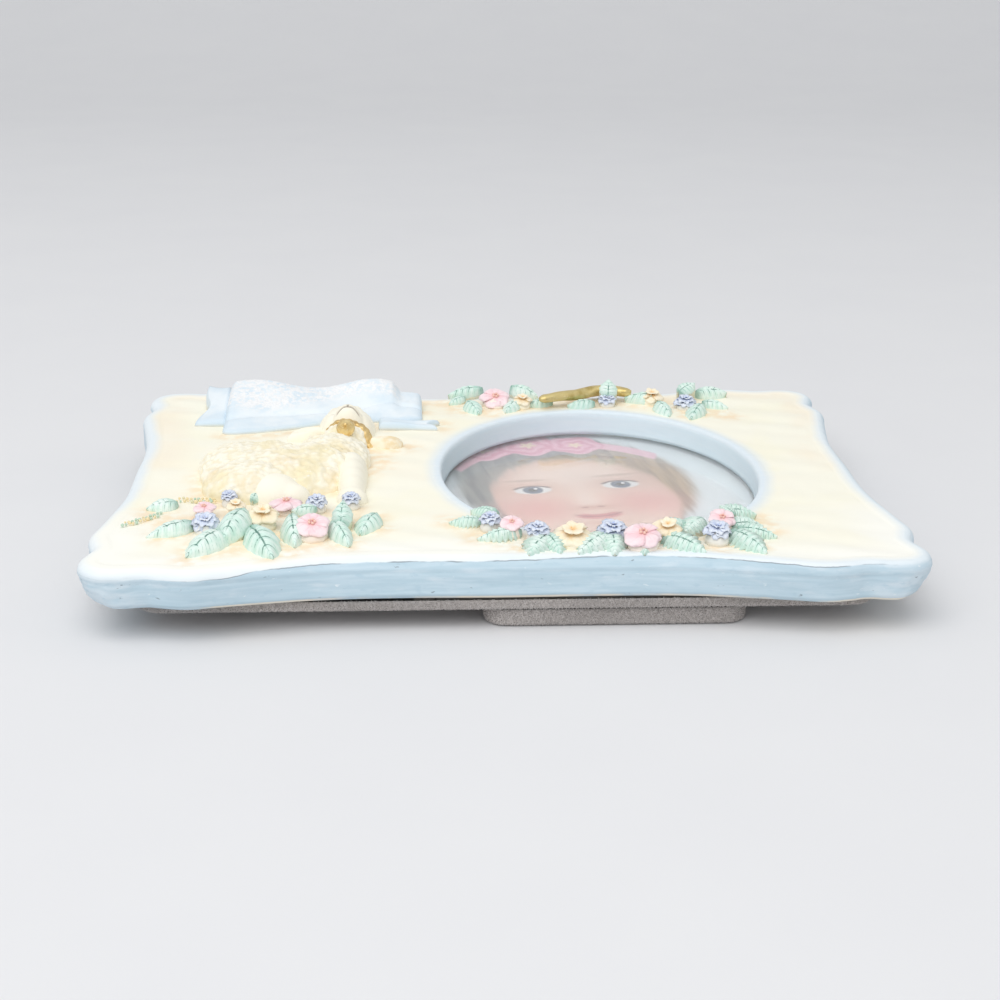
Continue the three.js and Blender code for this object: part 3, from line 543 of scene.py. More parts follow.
def plaquePaint():
    graph, lay = newPaint("plaque paint")
    spot = graph.spot()
    edge, rim, washAndShade = graph.marks("edge", "rim", "washAndShade")
    streaks = graph.noise(graph.spot(stretch=(34, 9, 9), turn=-7), 1)
    blots = graph.noise(spot, 0.045)
    fine = graph.noise(graph.spot(stretch=(7, 1, 1)), 0.9)
    ground = graph.mix((253, 250, 234), (252, 244, 226), streaks.fade(0.4, 0.75) * 0.4)
    ground = ground.coat((253, 249, 226), blots.fade(0.48, 0.7) * 0.6)
    x, y, z = graph.parts(spot)
    # peach tint in blotches near the outer edge, more on the far half
    edgePeach = edge.fade(17, 6) * blots.fade(0.35, 0.6) * y.fade(-30, 10)
    ground = ground.coat((251, 232, 208), edgePeach * 0.35)
    ground = ground.coat((254, 253, 246), edge.fade(24, 6) * y.fade(-20, -50) * 0.8)
    # ochre round the relief: partly a wash, partly painted shade where the relief meets the ground
    ground = ground.coat((249, 224, 188), washAndShade * graph.noise(spot, 0.3, 4).fade(0.3, 0.62) * 0.8)
    wobble = (graph.noise(spot, 0.25) - 0.5) * 1.2
    drift = (graph.noise(spot, 0.08) - 0.5) * 5
    left = x.fade(35, -15)
    white = graph.mix((229, 238, 244), (240, 246, 248), fine)
    ground = ground.coat(white, (edge + drift * 0.5 + left * y.fade(-20, -50) * 2).fade(5.4, 1.6))
    band = graph.mix((220, 233, 242), (236, 243, 247), fine)
    ground = ground.coat(band, (rim + drift * 0.4).fade(6, 0.8))
    # blue sides and window wall, brushed along their length
    brush = graph.noise(graph.spot(stretch=(11, 11, 0.8)), 1, 5)
    blue = graph.mix((185, 208, 220), (199, 218, 229), brush.fade(0.3, 0.75))
    corner = abs(x).fade(74, 97)
    chalk = graph.noise(graph.spot(stretch=(5, 5, 1.2)), 0.6, 5)
    blue = blue.coat((214, 226, 234), (chalk + corner * 0.22).fade(0.55, 0.8) * 0.7)
    mottle = graph.noise(graph.spot(stretch=(2, 2, 0.9)), 0.8, 5)
    blue = blue.coat((178, 203, 217), mottle.fade(0.56, 0.74) * 0.6)
    scratch = graph.noise(graph.spot(stretch=(2.2, 2.2, 0.7)), 0.8, 6)
    blue = blue.coat((124, 138, 148), scratch.fade(0.69, 0.73) * 0.7)
    blue = blue.coat((230, 238, 243), scratch.fade(0.31, 0.27) * 0.7)
    # the white runs over the edge, further on the left, and ends in a fine dark line
    over = faceZ + plaqueValues["lip"] - z - left * 0.6 - x.fade(-58, -66) * 0.9 - wobble * 0.4 - 0.6
    outside = edge.fade(2.5, 2.2) * rim.fade(farMark - 1, farMark)
    onSide = over.fade(-0.12, 0.12) * (1 - corner) + over.fade(-1.2, 1) * corner
    colour = graph.mix(ground, blue, onSide * outside)
    seam = abs(over).fade(0.15, 0.04) * graph.noise(spot, 0.09, 4).fade(0.42, 0.55)
    colour = colour.coat((116, 126, 136), seam * outside * (1 - corner * 0.85) * 0.7)
    wall = graph.mix((226, 243, 252), (235, 247, 253), brush)
    colour = colour.coat(wall, rim.fade(0.6, -0.6))
    bare = graph.mix((242, 238, 228), (228, 220, 202), fine)
    worn = (edge + wobble * 0.5).fade(-8.3, -9) * graph.noise(spot, 0.05, 4).fade(0.4, 0.55)
    colour = colour.coat(bare, worn)
    rough = 0.52 + fine * 0.14
    relief = fine * 0.4 + graph.noise(spot, 0.8, 4) * 0.4 + brush * 0.6
    return lay(colour=colour, rough=rough, normal=graph.bump(relief, 0.5, 0.12), shine=0.35)


settle(buildPlaque(), plaquePaint(), "frame", "plaque", "front_plaque")
print("plaque built")


# Glass and print

printValues = {"headX": 22.5, "headY": 8.0, "headWide": 31.0, "headHigh": 39.0, "tilt": 10}
glassValues = {"clear": 0.92, "rough": 0.02, "bend": 1.3}
deep = 1e6  # a stretch that leaves height out of a pattern


def glassPaint():
    graph, lay = newPaint("picture glass")
    cloud = graph.noise(graph.spot(stretch=(30, 18, 10)), 1)
    return lay(colour=graph.mix((238, 242, 244), (250, 251, 251), cloud), **glassValues)


def printPaint():
    graph, lay = newPaint("print")
    v = printValues
    wide, high = v["headWide"], v["headHigh"]

    def onHead(x=0, y=0, stretch=(wide, high), turn=0):  # about a place given in shares of the head
        lean = Matrix.Rotation(math.radians(v["tilt"]), 2) @ Vector((x * wide, y * high))
        return graph.spot((v["headX"] + lean.x, v["headY"] + lean.y, 0), (*stretch, deep), v["tilt"] + turn)

    def reach(x, y, rx, ry, turn=0):  # 0 in the middle of an ellipse, 1 on its line
        where = onHead(x, y, (rx * wide, ry * high), turn)
        return graph.add("ShaderNodeVectorMath", {"operation": "LENGTH"}, {0: where}, "Value")

    def blot(x, y, rx, ry, soft=0.15, turn=0):
        return reach(x, y, rx, ry, turn).fade(1 + soft, 1 - soft)

    def dab(paint, share, *where):  # a blot of paint over the rest
        nonlocal colour
        colour = colour.coat(paint, blot(*where) * share)

    cloud = graph.noise(graph.spot(stretch=(1, 1, deep)), 0.03)
    strand = graph.noise(onHead(stretch=(2.2, 26)), 1, 5)
    colour = graph.mix((222, 228, 230), (238, 240, 241), cloud)
    # plain white dress with a gathered neck
    pleat = graph.noise(onHead(stretch=(3, 14)), 1)
    cloth = graph.mix((226, 224, 230), (252, 248, 249), pleat.fade(0.3, 0.65))
    chest = reach(0, -2.15, 1.35, 0.86)
    colour = colour.coat(cloth, chest.fade(1.02, 0.98))
    colour = colour.coat((212, 160, 141), blot(0, -1.1, 0.34, 0.36, 0.06))
    frill = abs(chest + (pleat - 0.5) * 0.16 - 0.98).fade(0.06, 0.04)
    colour = colour.coat((250, 222, 230), frill * blot(0, -1.3, 0.6, 0.3, 0.1))
    streak = strand.fade(0.3, 0.7)
    hair = graph.mix((92, 88, 82), (148, 142, 132), streak)
    fair = graph.mix((146, 114, 80), (200, 166, 124), streak)
    hair = hair.coat(fair, blot(0.95, 0.1, 0.75, 0.8, 0.5))
    wisp = (strand - 0.5) * 0.3
    colour = colour.coat(hair, (reach(0, 0.05, 1.04, 1.06) + wisp * 0.6).fade(1.08, 0.94))
    skin = graph.mix((238, 196, 176), (247, 216, 200), cloud)
    fringe = graph.parts(onHead())[1].fade(-0.35, 0.15)  # hair falls over the forehead, not over the chin
    face = reach(0, -0.3, 0.78, 0.86) + wisp * fringe * 0.8 - 0.02 * (1 - fringe)
    face = face.fade(1.03 + fringe * 0.07, 0.94)
    colour = colour.coat(skin, face)
    shaded = face * reach(0, -0.28, 0.8, 0.88).fade(0.72, 1.02)
    colour = colour.coat((222, 172, 152), shaded * (0.4 + fringe * 0.4))
    dab((252, 230, 217), 0.7, 0, 0.24, 0.5, 0.28, 0.9)
    for side in (-1, 1):
        eye = 0.4 * side
        dab((238, 158, 150), 0.65, 0.5 * side, -0.42, 0.3, 0.22, 0.9)
        dab((216, 164, 144), 0.45, eye, 0.0, 0.26, 0.13, 0.6)
        dab((150, 112, 84), 0.4, 0.41 * side, 0.17, 0.2, 0.022, 0.8, 2 * side)
        white = blot(eye, -0.04, 0.165, 0.075)
        colour = colour.coat((242, 240, 238), white)
        colour = colour.coat((86, 100, 122), white * blot(eye, -0.035, 0.09, 0.075))
        colour = colour.coat((28, 28, 34), white * blot(eye, -0.035, 0.042, 0.036))
        colour = colour.coat((255, 255, 255), blot(eye + 0.03, -0.012, 0.018, 0.015))
        line = abs(reach(eye, -0.05, 0.18, 0.095) - 1).fade(0.2, 0.05)
        colour = colour.coat((88, 62, 50), line * blot(eye, 0.03, 0.2, 0.06, 0.2) * 0.85)
    dab((252, 228, 214), 0.6, 0, -0.3, 0.09, 0.18, 0.9)
    dab((222, 166, 146), 0.7, 0, -0.46, 0.17, 0.045, 0.8)
    for side in (-1, 1):
        dab((176, 112, 98), 0.8, 0.07 * side, -0.45, 0.032, 0.016, 0.5)
    lips = abs(reach(0, -0.42, 0.3, 0.22) - 1)
    colour = colour.coat((219, 134, 132), lips.fade(0.26, 0.14) * blot(0, -0.63, 0.2, 0.08, 0.25))
    dab((236, 164, 158), 0.7, 0, -0.672, 0.1, 0.02, 0.8)
    colour = colour.coat((158, 86, 86), lips.fade(0.06, 0.02) * blot(0, -0.62, 0.24, 0.08, 0.2) * 0.75)
    dab((228, 176, 156), 0.5, 0, -0.76, 0.2, 0.03, 0.9)
    # headband with three cloth roses
    band = abs(reach(0, -0.5, 1.32, 1.46) - 1).fade(0.06, 0.04) * blot(0, 0.7, 1.0, 0.6, 0.02)
    colour = colour.coat(graph.mix((236, 158, 176), (250, 206, 214), strand), band)
    for x, y, size in ((-0.6, 0.9, 0.28), (-0.14, 0.96, 0.3), (0.3, 0.9, 0.26)):
        across, up, _ = graph.parts(onHead(x, y, (1, 1)))
        bearing = up.calc("ARCTAN2", across)
        rose = reach(x, y, size, size * wide / high) + (bearing * 5).calc("SINE") * 0.08
        folds = ((rose * 15 + bearing * 2).calc("SINE") * 0.5 + 0.5) * 0.7
        colour = colour.coat(graph.mix((247, 190, 204), (221, 112, 146), folds), rose.fade(1.04, 0.94))
        colour = colour.coat((250, 226, 190), rose.fade(0.26, 0.16))
    # a thin white veil over the whole print, partly its own fading and partly painted haze of light off the
    # glass
    return lay(colour=colour.coat((244, 245, 246), 0.05 + cloud * 0.06), rough=0.28, shine=0.3)


def paintNode(name, material):  # a finish on a CAD node that stays
    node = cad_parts[name]
    node.data.materials.clear()
    node.data.materials.append(material)


paintNode("window_glass", glassPaint())
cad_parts["window_glass"].visible_shadow = False  # lamps reach the print
paintNode("photo_print", printPaint())
print("glass and print finished")


# Boards, spacers and steel

boardValues = {"hardboard": ((84, 80, 76), (104, 100, 95)), "grey card": ((112, 108, 103), (132, 128, 122))}


def boardPaint(name):
    graph, lay = newPaint(name)
    dark, light = boardValues[name]
    grain = graph.noise(graph.spot(stretch=(0.6, 3.5, 0.6)), 1, 5)
    fleck = graph.cells(graph.spot(stretch=(0.5, 2.2, 0.5)), 1).fade(0.25, 0.05)
    colour = graph.mix(dark, light, grain.fade(0.3, 0.7))
    colour = colour.coat([c * 0.8 for c in dark], fleck * 0.35)
    return lay(colour=colour, rough=0.8 + grain * 0.12, normal=graph.bump(grain, 0.4, 0.08), shine=0.25)


def steelPaint():
    graph, lay = newPaint("hinge steel")
    brushed = graph.noise(graph.spot(stretch=(6, 0.35, 0.35)), 1, 4)
    ochreSpots = graph.noise(graph.spot(), 0.35, 4)
    colour = graph.mix((196, 198, 202), (170, 172, 176), brushed)
    colour = colour.coat((150, 140, 126), ochreSpots.fade(0.6, 0.8) * 0.6)
    rough = 0.3 + brushed * 0.12 + ochreSpots.fade(0.55, 0.8) * 0.2
    return lay(colour=colour, metal=0.92, rough=rough, normal=graph.bump(brushed, 0.25, 0.03))


hardboard = boardPaint("hardboard")
greyCard = boardPaint("grey card")
steel = steelPaint()
for name in ("backing_board", "easel_leg_board"):
    paintNode(name, hardboard)
for name in ("filler_card", "spacer_left", "spacer_right", "spacer_bottom"):
    paintNode(name, greyCard)
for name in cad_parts:
    if name.startswith("hinge_") or name.endswith(("rivet_left", "rivet_right")):
        paintNode(name, steel)
print("boards and steel finished")


# Shapes shared by the relief

reliefFloor = faceZ - 0.25  # relief sinks this far into the uneven ground


def outward(piece):
    mesh = bmesh.new()
    mesh.from_mesh(piece.data)
    bmesh.ops.remove_doubles(mesh, verts=mesh.verts, dist=1e-7)
    bmesh.ops.recalc_face_normals(mesh, faces=mesh.faces)
    mesh.to_mesh(piece.data)
    mesh.free()
    piece.data.shade_smooth()
    return piece


def shell(name, top, bottom, marks):  # closed skin over two grids of points, rows by columns by 3
    rows, columns = top.shape[:2]
    count = rows * columns
    faces = gridFaces(rows, columns)
    faces += [tuple(i + count for i in f[::-1]) for f in faces]
    ring = list(range(columns)) + [r * columns + columns - 1 for r in range(1, rows)]
    ring += [count - 1 - c for c in range(1, columns)] + [r * columns for r in range(rows - 2, 0, -1)]
    for a, b in zip(ring, ring[1:] + ring[:1]):
        faces.append((a, b, b + count, a + count))
    points = np.concatenate([top.reshape(-1, 3), bottom.reshape(-1, 3)])
    both = {k: np.concatenate([np.ravel(m), np.ravel(m)]) for k, m in marks.items()}
    both["depth"] = np.repeat([0.0, 1.0], count)
    return outward(makeMesh(name, points, faces, both))


def dome(name, centre, radii, turn, bend, rings=22, around=64):  # half a rounded mass on the ground
    r = np.sin(quarter(0.02, rings))[:, None]
    a = turns(around)[None, :]
    x, y, z = bend(r * np.cos(a), r * np.sin(a), np.sqrt(np.clip(1 - r * r, 0, 1)) + 0 * a)
    c, s = math.cos(math.radians(turn)), math.sin(math.radians(turn))
    x, y = x * radii[0], y * radii[1]
    rise = groundZ + z * radii[2]
    points = np.stack([centre[0] + x * c - y * s, centre[1] + x * s + y * c, rise], -1)
    foot = points[-1].copy()
    foot[:, 2] = reliefFloor
    points = np.concatenate([points.reshape(-1, 3), foot])
    faces = gridFaces(rings + 1, around, closed=True) + caps(rings + 1, around)
    return outward(makeMesh(name, points, faces))


def lathe(profile, around):  # profile of (radius, height) from one pole to the other
    points = np.array([(r * math.cos(t), r * math.sin(t), h) for r, h in profile for t in turns(around)])
    return points, gridFaces(len(profile), around, closed=True)


def ball(steps, around, pole):  # of radius 1, with a pinhole at each pole
    arc = np.linspace(0, math.pi, steps)
    return lathe([(max(math.sin(t), pole), -math.cos(t)) for t in arc], around)


def onGround(piece):  # nothing hangs below the floor of the relief
    points = getPoints(piece)
    points[:, 2] = np.maximum(points[:, 2], reliefFloor)
    setPoints(piece, points)
    piece.data.shade_smooth()
    return piece


def melt(name, blobs, voxel, smooth):  # rounded masses run together
    points, faces = [], []
    for x, y, rx, ry, rz in blobs:
        skin, cover = ball(33, 48, 1e-4)
        start = sum(map(len, points))
        faces += [tuple(i + start for i in f) for f in cover]
        points.append(skin * (rx, ry, rz) + (x, y, groundZ))
    piece = outward(makeMesh(name, np.concatenate(points), faces))
    remesh = piece.modifiers.new("melt", "REMESH")
    remesh.mode = "VOXEL"
    remesh.voxel_size = voxel * mm
    even = piece.modifiers.new("even", "SMOOTH")
    even.factor = 0.5
    even.iterations = smooth
    return onGround(bake(piece))


def sweep(name, path, across, up, section):  # a closed section carried along a path
    points = path[:, None] + across[:, None] * section[..., 0:1] + up[:, None] * section[..., 1:2]
    rows, columns = points.shape[:2]
    faces = gridFaces(rows, columns, closed=True) + caps(rows, columns)
    return outward(makeMesh(name, points.reshape(-1, 3), faces))


# Lamb

# masses as place and half sizes, ears the same with a turn, ochre patches as place and reach, lines as
# places
lambValues = {
    "voxel": 0.36, "headVoxel": 0.24, "curl": 1.6, "curlDepth": 0.5, "lump": 5.5, "lumpDepth": 0.6,
    "mouthDepth": 0.4, "mouthWidth": 0.3, "lidDepth": 0.22, "lidWidth": 0.28, "headWool": 0.9,
    "bodySmooth": 6, "headSmooth": 7, "legSmooth": 34, "haunchSmooth": 40,
    "topknotFrom": 32.5, "topknotRun": 2.5,
    "leftEar": ((-51, 27), (6.5, 3.1, 3.4), 206), "rightEar": ((-29.8, 19.4), (5.2, 3.6, 3.1), -12),
    "body": [(-57, -8, 20.6, 16, 7.3), (-44, 3.6, 10.8, 12.6, 7.2), (-63, -17, 13.3, 11.4, 6.8),
             (-47, -5, 12, 12, 7.6), (-66.6, -2, 12, 13.6, 7), (-60, -3, 13, 12, 7.4),
             (-40.6, 20, 6.6, 5.6, 6.2), (-41, 13.6, 6.6, 5, 4.6)],
    "foreLeg": [(-38.4, -7, 4.6, 7, 6.5), (-38.2, -11, 4.3, 7.2, 6.1), (-38, -15, 4, 7, 5.5),
                (-37.8, -19.4, 3.6, 6.2, 4.7), (-37.7, -23, 3.4, 4.8, 4), (-37.6, -26.6, 4.1, 4, 3.8)],
    "haunch": [(-57.5, -22.4, 7.4, 7, 5.9), (-52.6, -25, 4.8, 4, 4.2)],
    "head": [(-40.4, 31.8, 8.1, 7.4, 7.2), (-40, 27, 5.1, 4.9, 9.7), (-43.6, 28.6, 4, 4.2, 6.3),
             (-36.8, 28.4, 4, 4.2, 6.3), (-40.4, 35.8, 6.4, 3.4, 6.6), (-40.2, 30, 4.6, 5, 8.3)],
    "ochrePatches": [(-72.6, -17, 3.4), (-54.4, -14.6, 4), (-63.4, -24.6, 2.6), (-42.8, -17, 2.4),
               (-33.8, -7, 2.4), (-40, -3, 3)],
    "mouth": [[(-39.9, 27.6), (-39.9, 26)], [(-39.9, 26), (-41.1, 26.1), (-42.9, 25.7)],
              [(-39.9, 26), (-38.7, 26.1), (-36.9, 25.7)]],
    "lids": [[(-44.9, 29.6), (-43.8, 29), (-42.8, 29.4)], [(-37.2, 29.4), (-36.2, 29), (-35.1, 29.6)]],
    "nostrils": [[(-41.3, 29.8), (-40.8, 29.2)], [(-38.5, 29.8), (-39, 29.2)]]}


def woolTree():
    sockets = ("Curl Size", "Curl Depth", "Lump Size", "Lump Depth", "Floor")
    graph, inputs = newTree("wool", dict.fromkeys(sockets, "Float"))
    place = graph.add("GeometryNodeInputPosition")

    def bulges(size):
        where = graph.scaled(place, 1 / inputs[size])
        warp = graph.add("ShaderNodeTexNoise", None, {"Vector": where, "Scale": 0.8, "Detail": 1.0}, "Color")
        where = graph.add("ShaderNodeVectorMath", {"operation": "ADD"}, {0: where, 1: warp})
        links = {"Vector": where, "Scale": 1.0, "Smoothness": 0.25}
        return 1 - graph.add("ShaderNodeTexVoronoi", {"feature": "SMOOTH_F1"}, links) * 1.6

    curl = bulges("Curl Size")
    lump = bulges("Lump Size")
    clear = (graph.parts(place)[2] - inputs["Floor"]).fade(0.2 * mm, 1.6 * mm) * (1 - graph.field("bare"))
    rise = (curl * inputs["Curl Depth"] + lump * inputs["Lump Depth"]) * clear
    marked = graph.store(inputs["Geometry"], "curl", curl)
    offset = graph.scaled(graph.add("GeometryNodeInputNormal"), rise)
    moved = graph.add("GeometryNodeSetPosition", None, {"Geometry": marked, "Offset": offset})
    return closeTree(graph, moved, inputs)


def woolPaint():
    graph, lay = newPaint("lamb")
    spot = graph.spot()
    curl, bare, line, warm = graph.marks("curl", "bare", "line", "warm")
    blotch = graph.noise(spot, 0.09)
    fine = graph.noise(spot, 2.2)
    wool = graph.mix((252, 247, 230), (246, 235, 198), blotch.fade(0.45, 0.7))
    wool = wool.coat((240, 226, 190), curl.fade(0.35, -0.25) * 0.5)
    wool = wool.coat((254, 252, 244), curl.fade(0.5, 0.95) * 0.8)
    colour = wool.coat(graph.mix((254, 251, 238), (253, 246, 226), blotch), bare)
    colour = colour.coat((239, 216, 172), warm * graph.noise(spot, 0.4).fade(0.25, 0.6) * 0.9)
    colour = colour.coat((136, 118, 106), line * 0.9)
    return lay(colour=colour, rough=0.55 + fine * 0.15, normal=graph.bump(fine, 0.35, 0.08), shine=0.35)


def alongLines(points, lines):  # distance in plan to the nearest of some lines
    away = np.full(len(points), 99.0)
    for line in lines:
        for (ax, ay), (bx, by) in zip(line, line[1:]):
            px, py = points[:, 0] - ax, points[:, 1] - ay
            dx, dy = bx - ax, by - ay
            t = np.clip((px * dx + py * dy) / (dx * dx + dy * dy), 0, 1)
            away = np.minimum(away, np.hypot(px - t * dx, py - t * dy))
    return away


def buildLamb():
    v = lambValues
    tree = woolTree()
    paint = woolPaint()

    def fleece(piece, node, share):
        grow(piece, tree, **{"Curl Size": v["curl"] * mm, "Curl Depth": v["curlDepth"] * share * mm,
                             "Lump Size": v["lump"] * mm, "Lump Depth": v["lumpDepth"] * share * mm,
                             "Floor": groundZ * mm, "Material": paint})
        settle(onGround(piece), paint, "frame", "lamb", node)

    body = melt("lamb_wool", v["body"], v["voxel"], v["bodySmooth"])
    x, y, _ = getPoints(body).T
    ochreSpots = sum(np.exp(-((x - sx) ** 2 + (y - sy) ** 2) / reach ** 2) for sx, sy, reach in v["ochrePatches"])
    markPoints(body, {"bare": 0 * x, "line": 0 * x, "warm": 0.6 * ochreSpots})
    fleece(body, "lamb_body", 1.0)

    head = melt("lamb_face", v["head"], v["headVoxel"], v["headSmooth"])
    points = getPoints(head)
    topknot = ease((points[:, 1] - v["topknotFrom"]) / v["topknotRun"])
    high = ease((points[:, 2] - groundZ - 2) / 1.5)
    near = np.exp(-(alongLines(points, v["mouth"]) / v["mouthWidth"]) ** 2) * high
    soft = np.exp(-(alongLines(points, v["lids"] + v["nostrils"]) / v["lidWidth"]) ** 2) * high
    normals = np.zeros(len(points) * 3)
    head.data.vertices.foreach_get("normal", normals)
    carve = near * v["mouthDepth"] + soft * v["lidDepth"]
    setPoints(head, points - normals.reshape(-1, 3) * carve[:, None])
    markPoints(head, {"bare": 1 - topknot, "line": np.maximum(near, soft * 0.6)})
    fleece(head, "lamb_head", v["headWool"])

    def earShape(x, y, z):  # pointed outwards, hollow in the middle
        tip = 1 - 0.32 * np.clip(x, 0, 1) ** 2
        hollow = 0.55 * np.exp(-((x * 1.25) ** 2 + (y * 2.0) ** 2) * 1.6)
        return x, y * tip, z * (1 - hollow)

    def bluntShape(x, y, z):  # flat slab with a shallow hollow
        hollow = 0.4 * np.exp(-((x * 1.1) ** 2 + ((y - 0.2) * 1.8) ** 2) * 1.6)
        return x, y * (0.85 + 0.2 * x), z ** 0.7 * (1 - hollow)

    limbs = {"lamb_ear_left": dome("lamb_left_ear", *v["leftEar"], earShape),
             "lamb_ear_right": dome("lamb_right_ear", *v["rightEar"], bluntShape),
             "lamb_fore_leg": melt("lamb_foreleg", v["foreLeg"], v["voxel"], v["legSmooth"]),
             "lamb_hind_leg": melt("lamb_haunch", v["haunch"], v["voxel"], v["haunchSmooth"])}
    for node, limb in limbs.items():
        x = getPoints(limb)[:, 0]
        warm = ease((x + 33.5) / 5) * (node == "lamb_ear_right")
        markPoints(limb, {"bare": 0 * x + 1, "curl": 0 * x, "line": 0 * x, "warm": warm})
        settle(limb, paint, "frame", "lamb", node)
    return body, head


lambBody, lambHead = buildLamb()
print("lamb built")


# Collar, bell and gilt ribbon

collarValues = {"path": [(-47.4, 25.4), (-45.6, 23.6), (-43.4, 22), (-41, 21.1), (-38.6, 20.9),
                         (-36.4, 20.9), (-34.6, 20), (-33, 17.8)],
                "width": 2.6, "thick": 0.8, "steps": 140, "around": 28, "twist": 0.14, "pitch": 3.4,
                "tones": ((232, 202, 142), (208, 170, 104), (250, 232, 186))}
# the outline's radii and heights are shares of the radius
bellValues = {"x": -40.3, "y": 15.8, "radius": 2.3, "rise": 1.2, "lean": 52, "around": 40,
              "outline": [(0.02, 1.32), (0.16, 1.3), (0.24, 1.2), (0.2, 1.08), (0.3, 0.98), (0.62, 0.86),
                          (0.86, 0.6), (0.99, 0.25), (1.0, 0.12), (1.08, 0.08), (1.1, 0), (1.08, -0.08),
                          (1.0, -0.12), (0.97, -0.3), (0.82, -0.6), (0.55, -0.84), (0.25, -0.97),
                          (0.02, -1)],
              "tones": ((250, 226, 168), (224, 188, 118), (255, 246, 214))}
giltValues = {"path": [(15.8, 53.4), (20.4, 55.2), (25.2, 57.6), (30, 60.6), (34, 62.6), (38.8, 61.6),
                       (43.8, 60.4)],
              "radius": 2.1, "flat": 0.8, "steps": 150, "around": 30, "turns": 1.2, "groove": 0.1,
              "tones": ((224, 204, 142), (204, 180, 112), (240, 224, 176))}


def goldPaint(name, base, dark, light):
    graph, lay = newPaint(name)
    spot = graph.spot()
    grain = graph.noise(spot, 1.6, 4)
    worn = graph.noise(spot, 0.35, 4)
    colour = graph.mix(base, dark, worn.fade(0.45, 0.7))
    colour = colour.coat(light, grain.fade(0.55, 0.75) * 0.7)
    metal = 0.55 + worn.fade(0.3, 0.6) * 0.25
    return lay(colour=colour, metal=metal, rough=0.34 + grain * 0.2, normal=graph.bump(grain, 0.45, 0.1))


def surfaceUnder(*pieces):  # highest point of some pieces below a spot in plan
    skins = [BVHTree.FromObject(p, bpy.context.evaluated_depsgraph_get()) for p in pieces]

    def height(x, y):
        top = reliefFloor
        for skin in skins:
            hit = skin.ray_cast(Vector((x * mm, y * mm, 0.1)), Vector((0, 0, -1)))[0]
            if hit:
                top = max(top, hit.z / mm)
        return top
    return height


def smoothPath(path, passes):
    path = path.copy()
    for _ in range(passes):
        path[1:-1] += 0.5 * (0.5 * (path[:-2] + path[2:]) - path[1:-1])
    return path


def smoothLine(knots, steps, passes):  # even steps from knot to knot, with the corners eased
    at = np.linspace(0, len(knots) - 1, steps)
    return smoothPath(follow(at, range(len(knots)), knots), passes)


def buildCollar(height):
    v = collarValues
    flat = smoothLine(v["path"], v["steps"], 120)
    rise = np.array([height(x, y) for x, y in flat])
    path = smoothPath(np.column_stack([flat, rise + 0.1]), 40)
    heading = unit(np.gradient(flat, axis=0))
    across = np.column_stack([-heading[:, 1], heading[:, 0], 0 * rise])
    along = np.gradient(path, axis=0)
    up = np.cross(unit(along), across)
    up *= np.sign(up[:, 2:3] + 1e-9)
    a = turns(v["around"])
    length = np.cumsum(np.linalg.norm(along, axis=1))
    cord = 1 + v["twist"] * np.cos(length[:, None] * v["pitch"] + 2.2 * np.cos(a)[None, :])
    wide = np.sign(np.cos(a)) * np.abs(np.cos(a)) ** 0.6 * v["width"] / 2
    tall = np.sign(np.sin(a)) * np.abs(np.sin(a)) ** 0.7 * v["thick"]
    section = np.stack([wide[None, :] + 0 * cord, tall[None, :] * cord], -1)
    return sweep("collar", path, across, up, section)


def buildBell(height):
    v = bellValues
    r = v["radius"]
    points, faces = lathe([(a * r, b * r) for a, b in v["outline"]], v["around"])
    slit = np.exp(-(points[:, 0] / (0.16 * r)) ** 2) * (points[:, 2] < -0.1 * r)
    points *= (1 - 0.16 * slit)[:, None]
    lean = np.array(Matrix.Rotation(math.radians(v["lean"]), 3, "X"))
    points = points @ lean.T
    points += (v["x"], v["y"], height(v["x"], v["y"]) + v["rise"])
    return outward(makeMesh("bell", points, faces + caps(len(v["outline"]), v["around"])))


def buildGilt():
    v = giltValues
    low, high = boxOf("gilt_ribbon")
    middle = (low[2] + high[2]) / 2
    knots = [(x, y, middle + 0.25 * math.sin(i * 1.7)) for i, (x, y) in enumerate(v["path"])]
    path = smoothLine(knots, v["steps"], 60)
    along = unit(np.gradient(path, axis=0))
    across = unit(np.cross(np.array([0, 0, 1.0]), along))
    a = turns(v["around"])[None, :]
    share = np.linspace(0, 1, len(path))[:, None]
    taper = np.clip(np.minimum(share, 1 - share) * 16 + 0.3, 0, 1) ** 0.5
    taper = taper * v["radius"] * (0.55 + 0.45 * np.sin(math.pi * (0.1 + 0.7 * share)))
    rope = 1 - v["groove"] * np.abs(np.cos(1.5 * (a + share * v["turns"] * 2 * math.pi))) ** 4
    section = np.stack([np.cos(a) * taper * rope, np.sin(a) * taper * rope * v["flat"]], -1)
    return sweep("gilt", path, across, np.cross(along, across), section)


collarGold = goldPaint("collar gold", *collarValues["tones"])
giltGold = goldPaint("gilt", *giltValues["tones"])
bellGold = goldPaint("bell gold", *bellValues["tones"])
lambHeight = surfaceUnder(lambBody, lambHead)
settle(buildCollar(lambHeight), collarGold, "frame", "gilt", "collar_ribbon")
settle(buildBell(lambHeight), bellGold, "frame", "gilt", "collar_bell")
settle(buildGilt(), giltGold, "frame", "gilt", "gilt_ribbon")
print("collar, bell and gilt built")


# Banner

# ends as near and far edge, notches as start, run, middle, spread and bite
bannerValues = {"left": -75.5, "right": -19, "nearLeft": 30, "nearRight": 41, "far": 60, "low": 1.3,
                "trough": 6.1, "crest": 8.9, "waves": 1.62, "firstCrest": 0.13, "shelf": 4.6, "round": 2.6,
                "endRound": 1.6, "cornerRound": 3.2, "cornerRate": 11.2, "fold": 0.5, "frost": 0.14,
                "leftEnd": [[(-74.6, 38.5), (-80, 38.6), (-84, 39)],
                            [(-74.6, 61), (-79, 62), (-82.4, 62.6)]],
                "rightEnd": [[(-31.5, 34), (-23, 33.6), (-14.8, 33)],
                             [(-31.5, 41.4), (-23, 39.8), (-14, 38.4)]],
                "leftNotch": (-74.6, -8.4, 50, 5, 2.4), "rightNotch": (-31.5, 17, 35.8, 1.5, 3)}


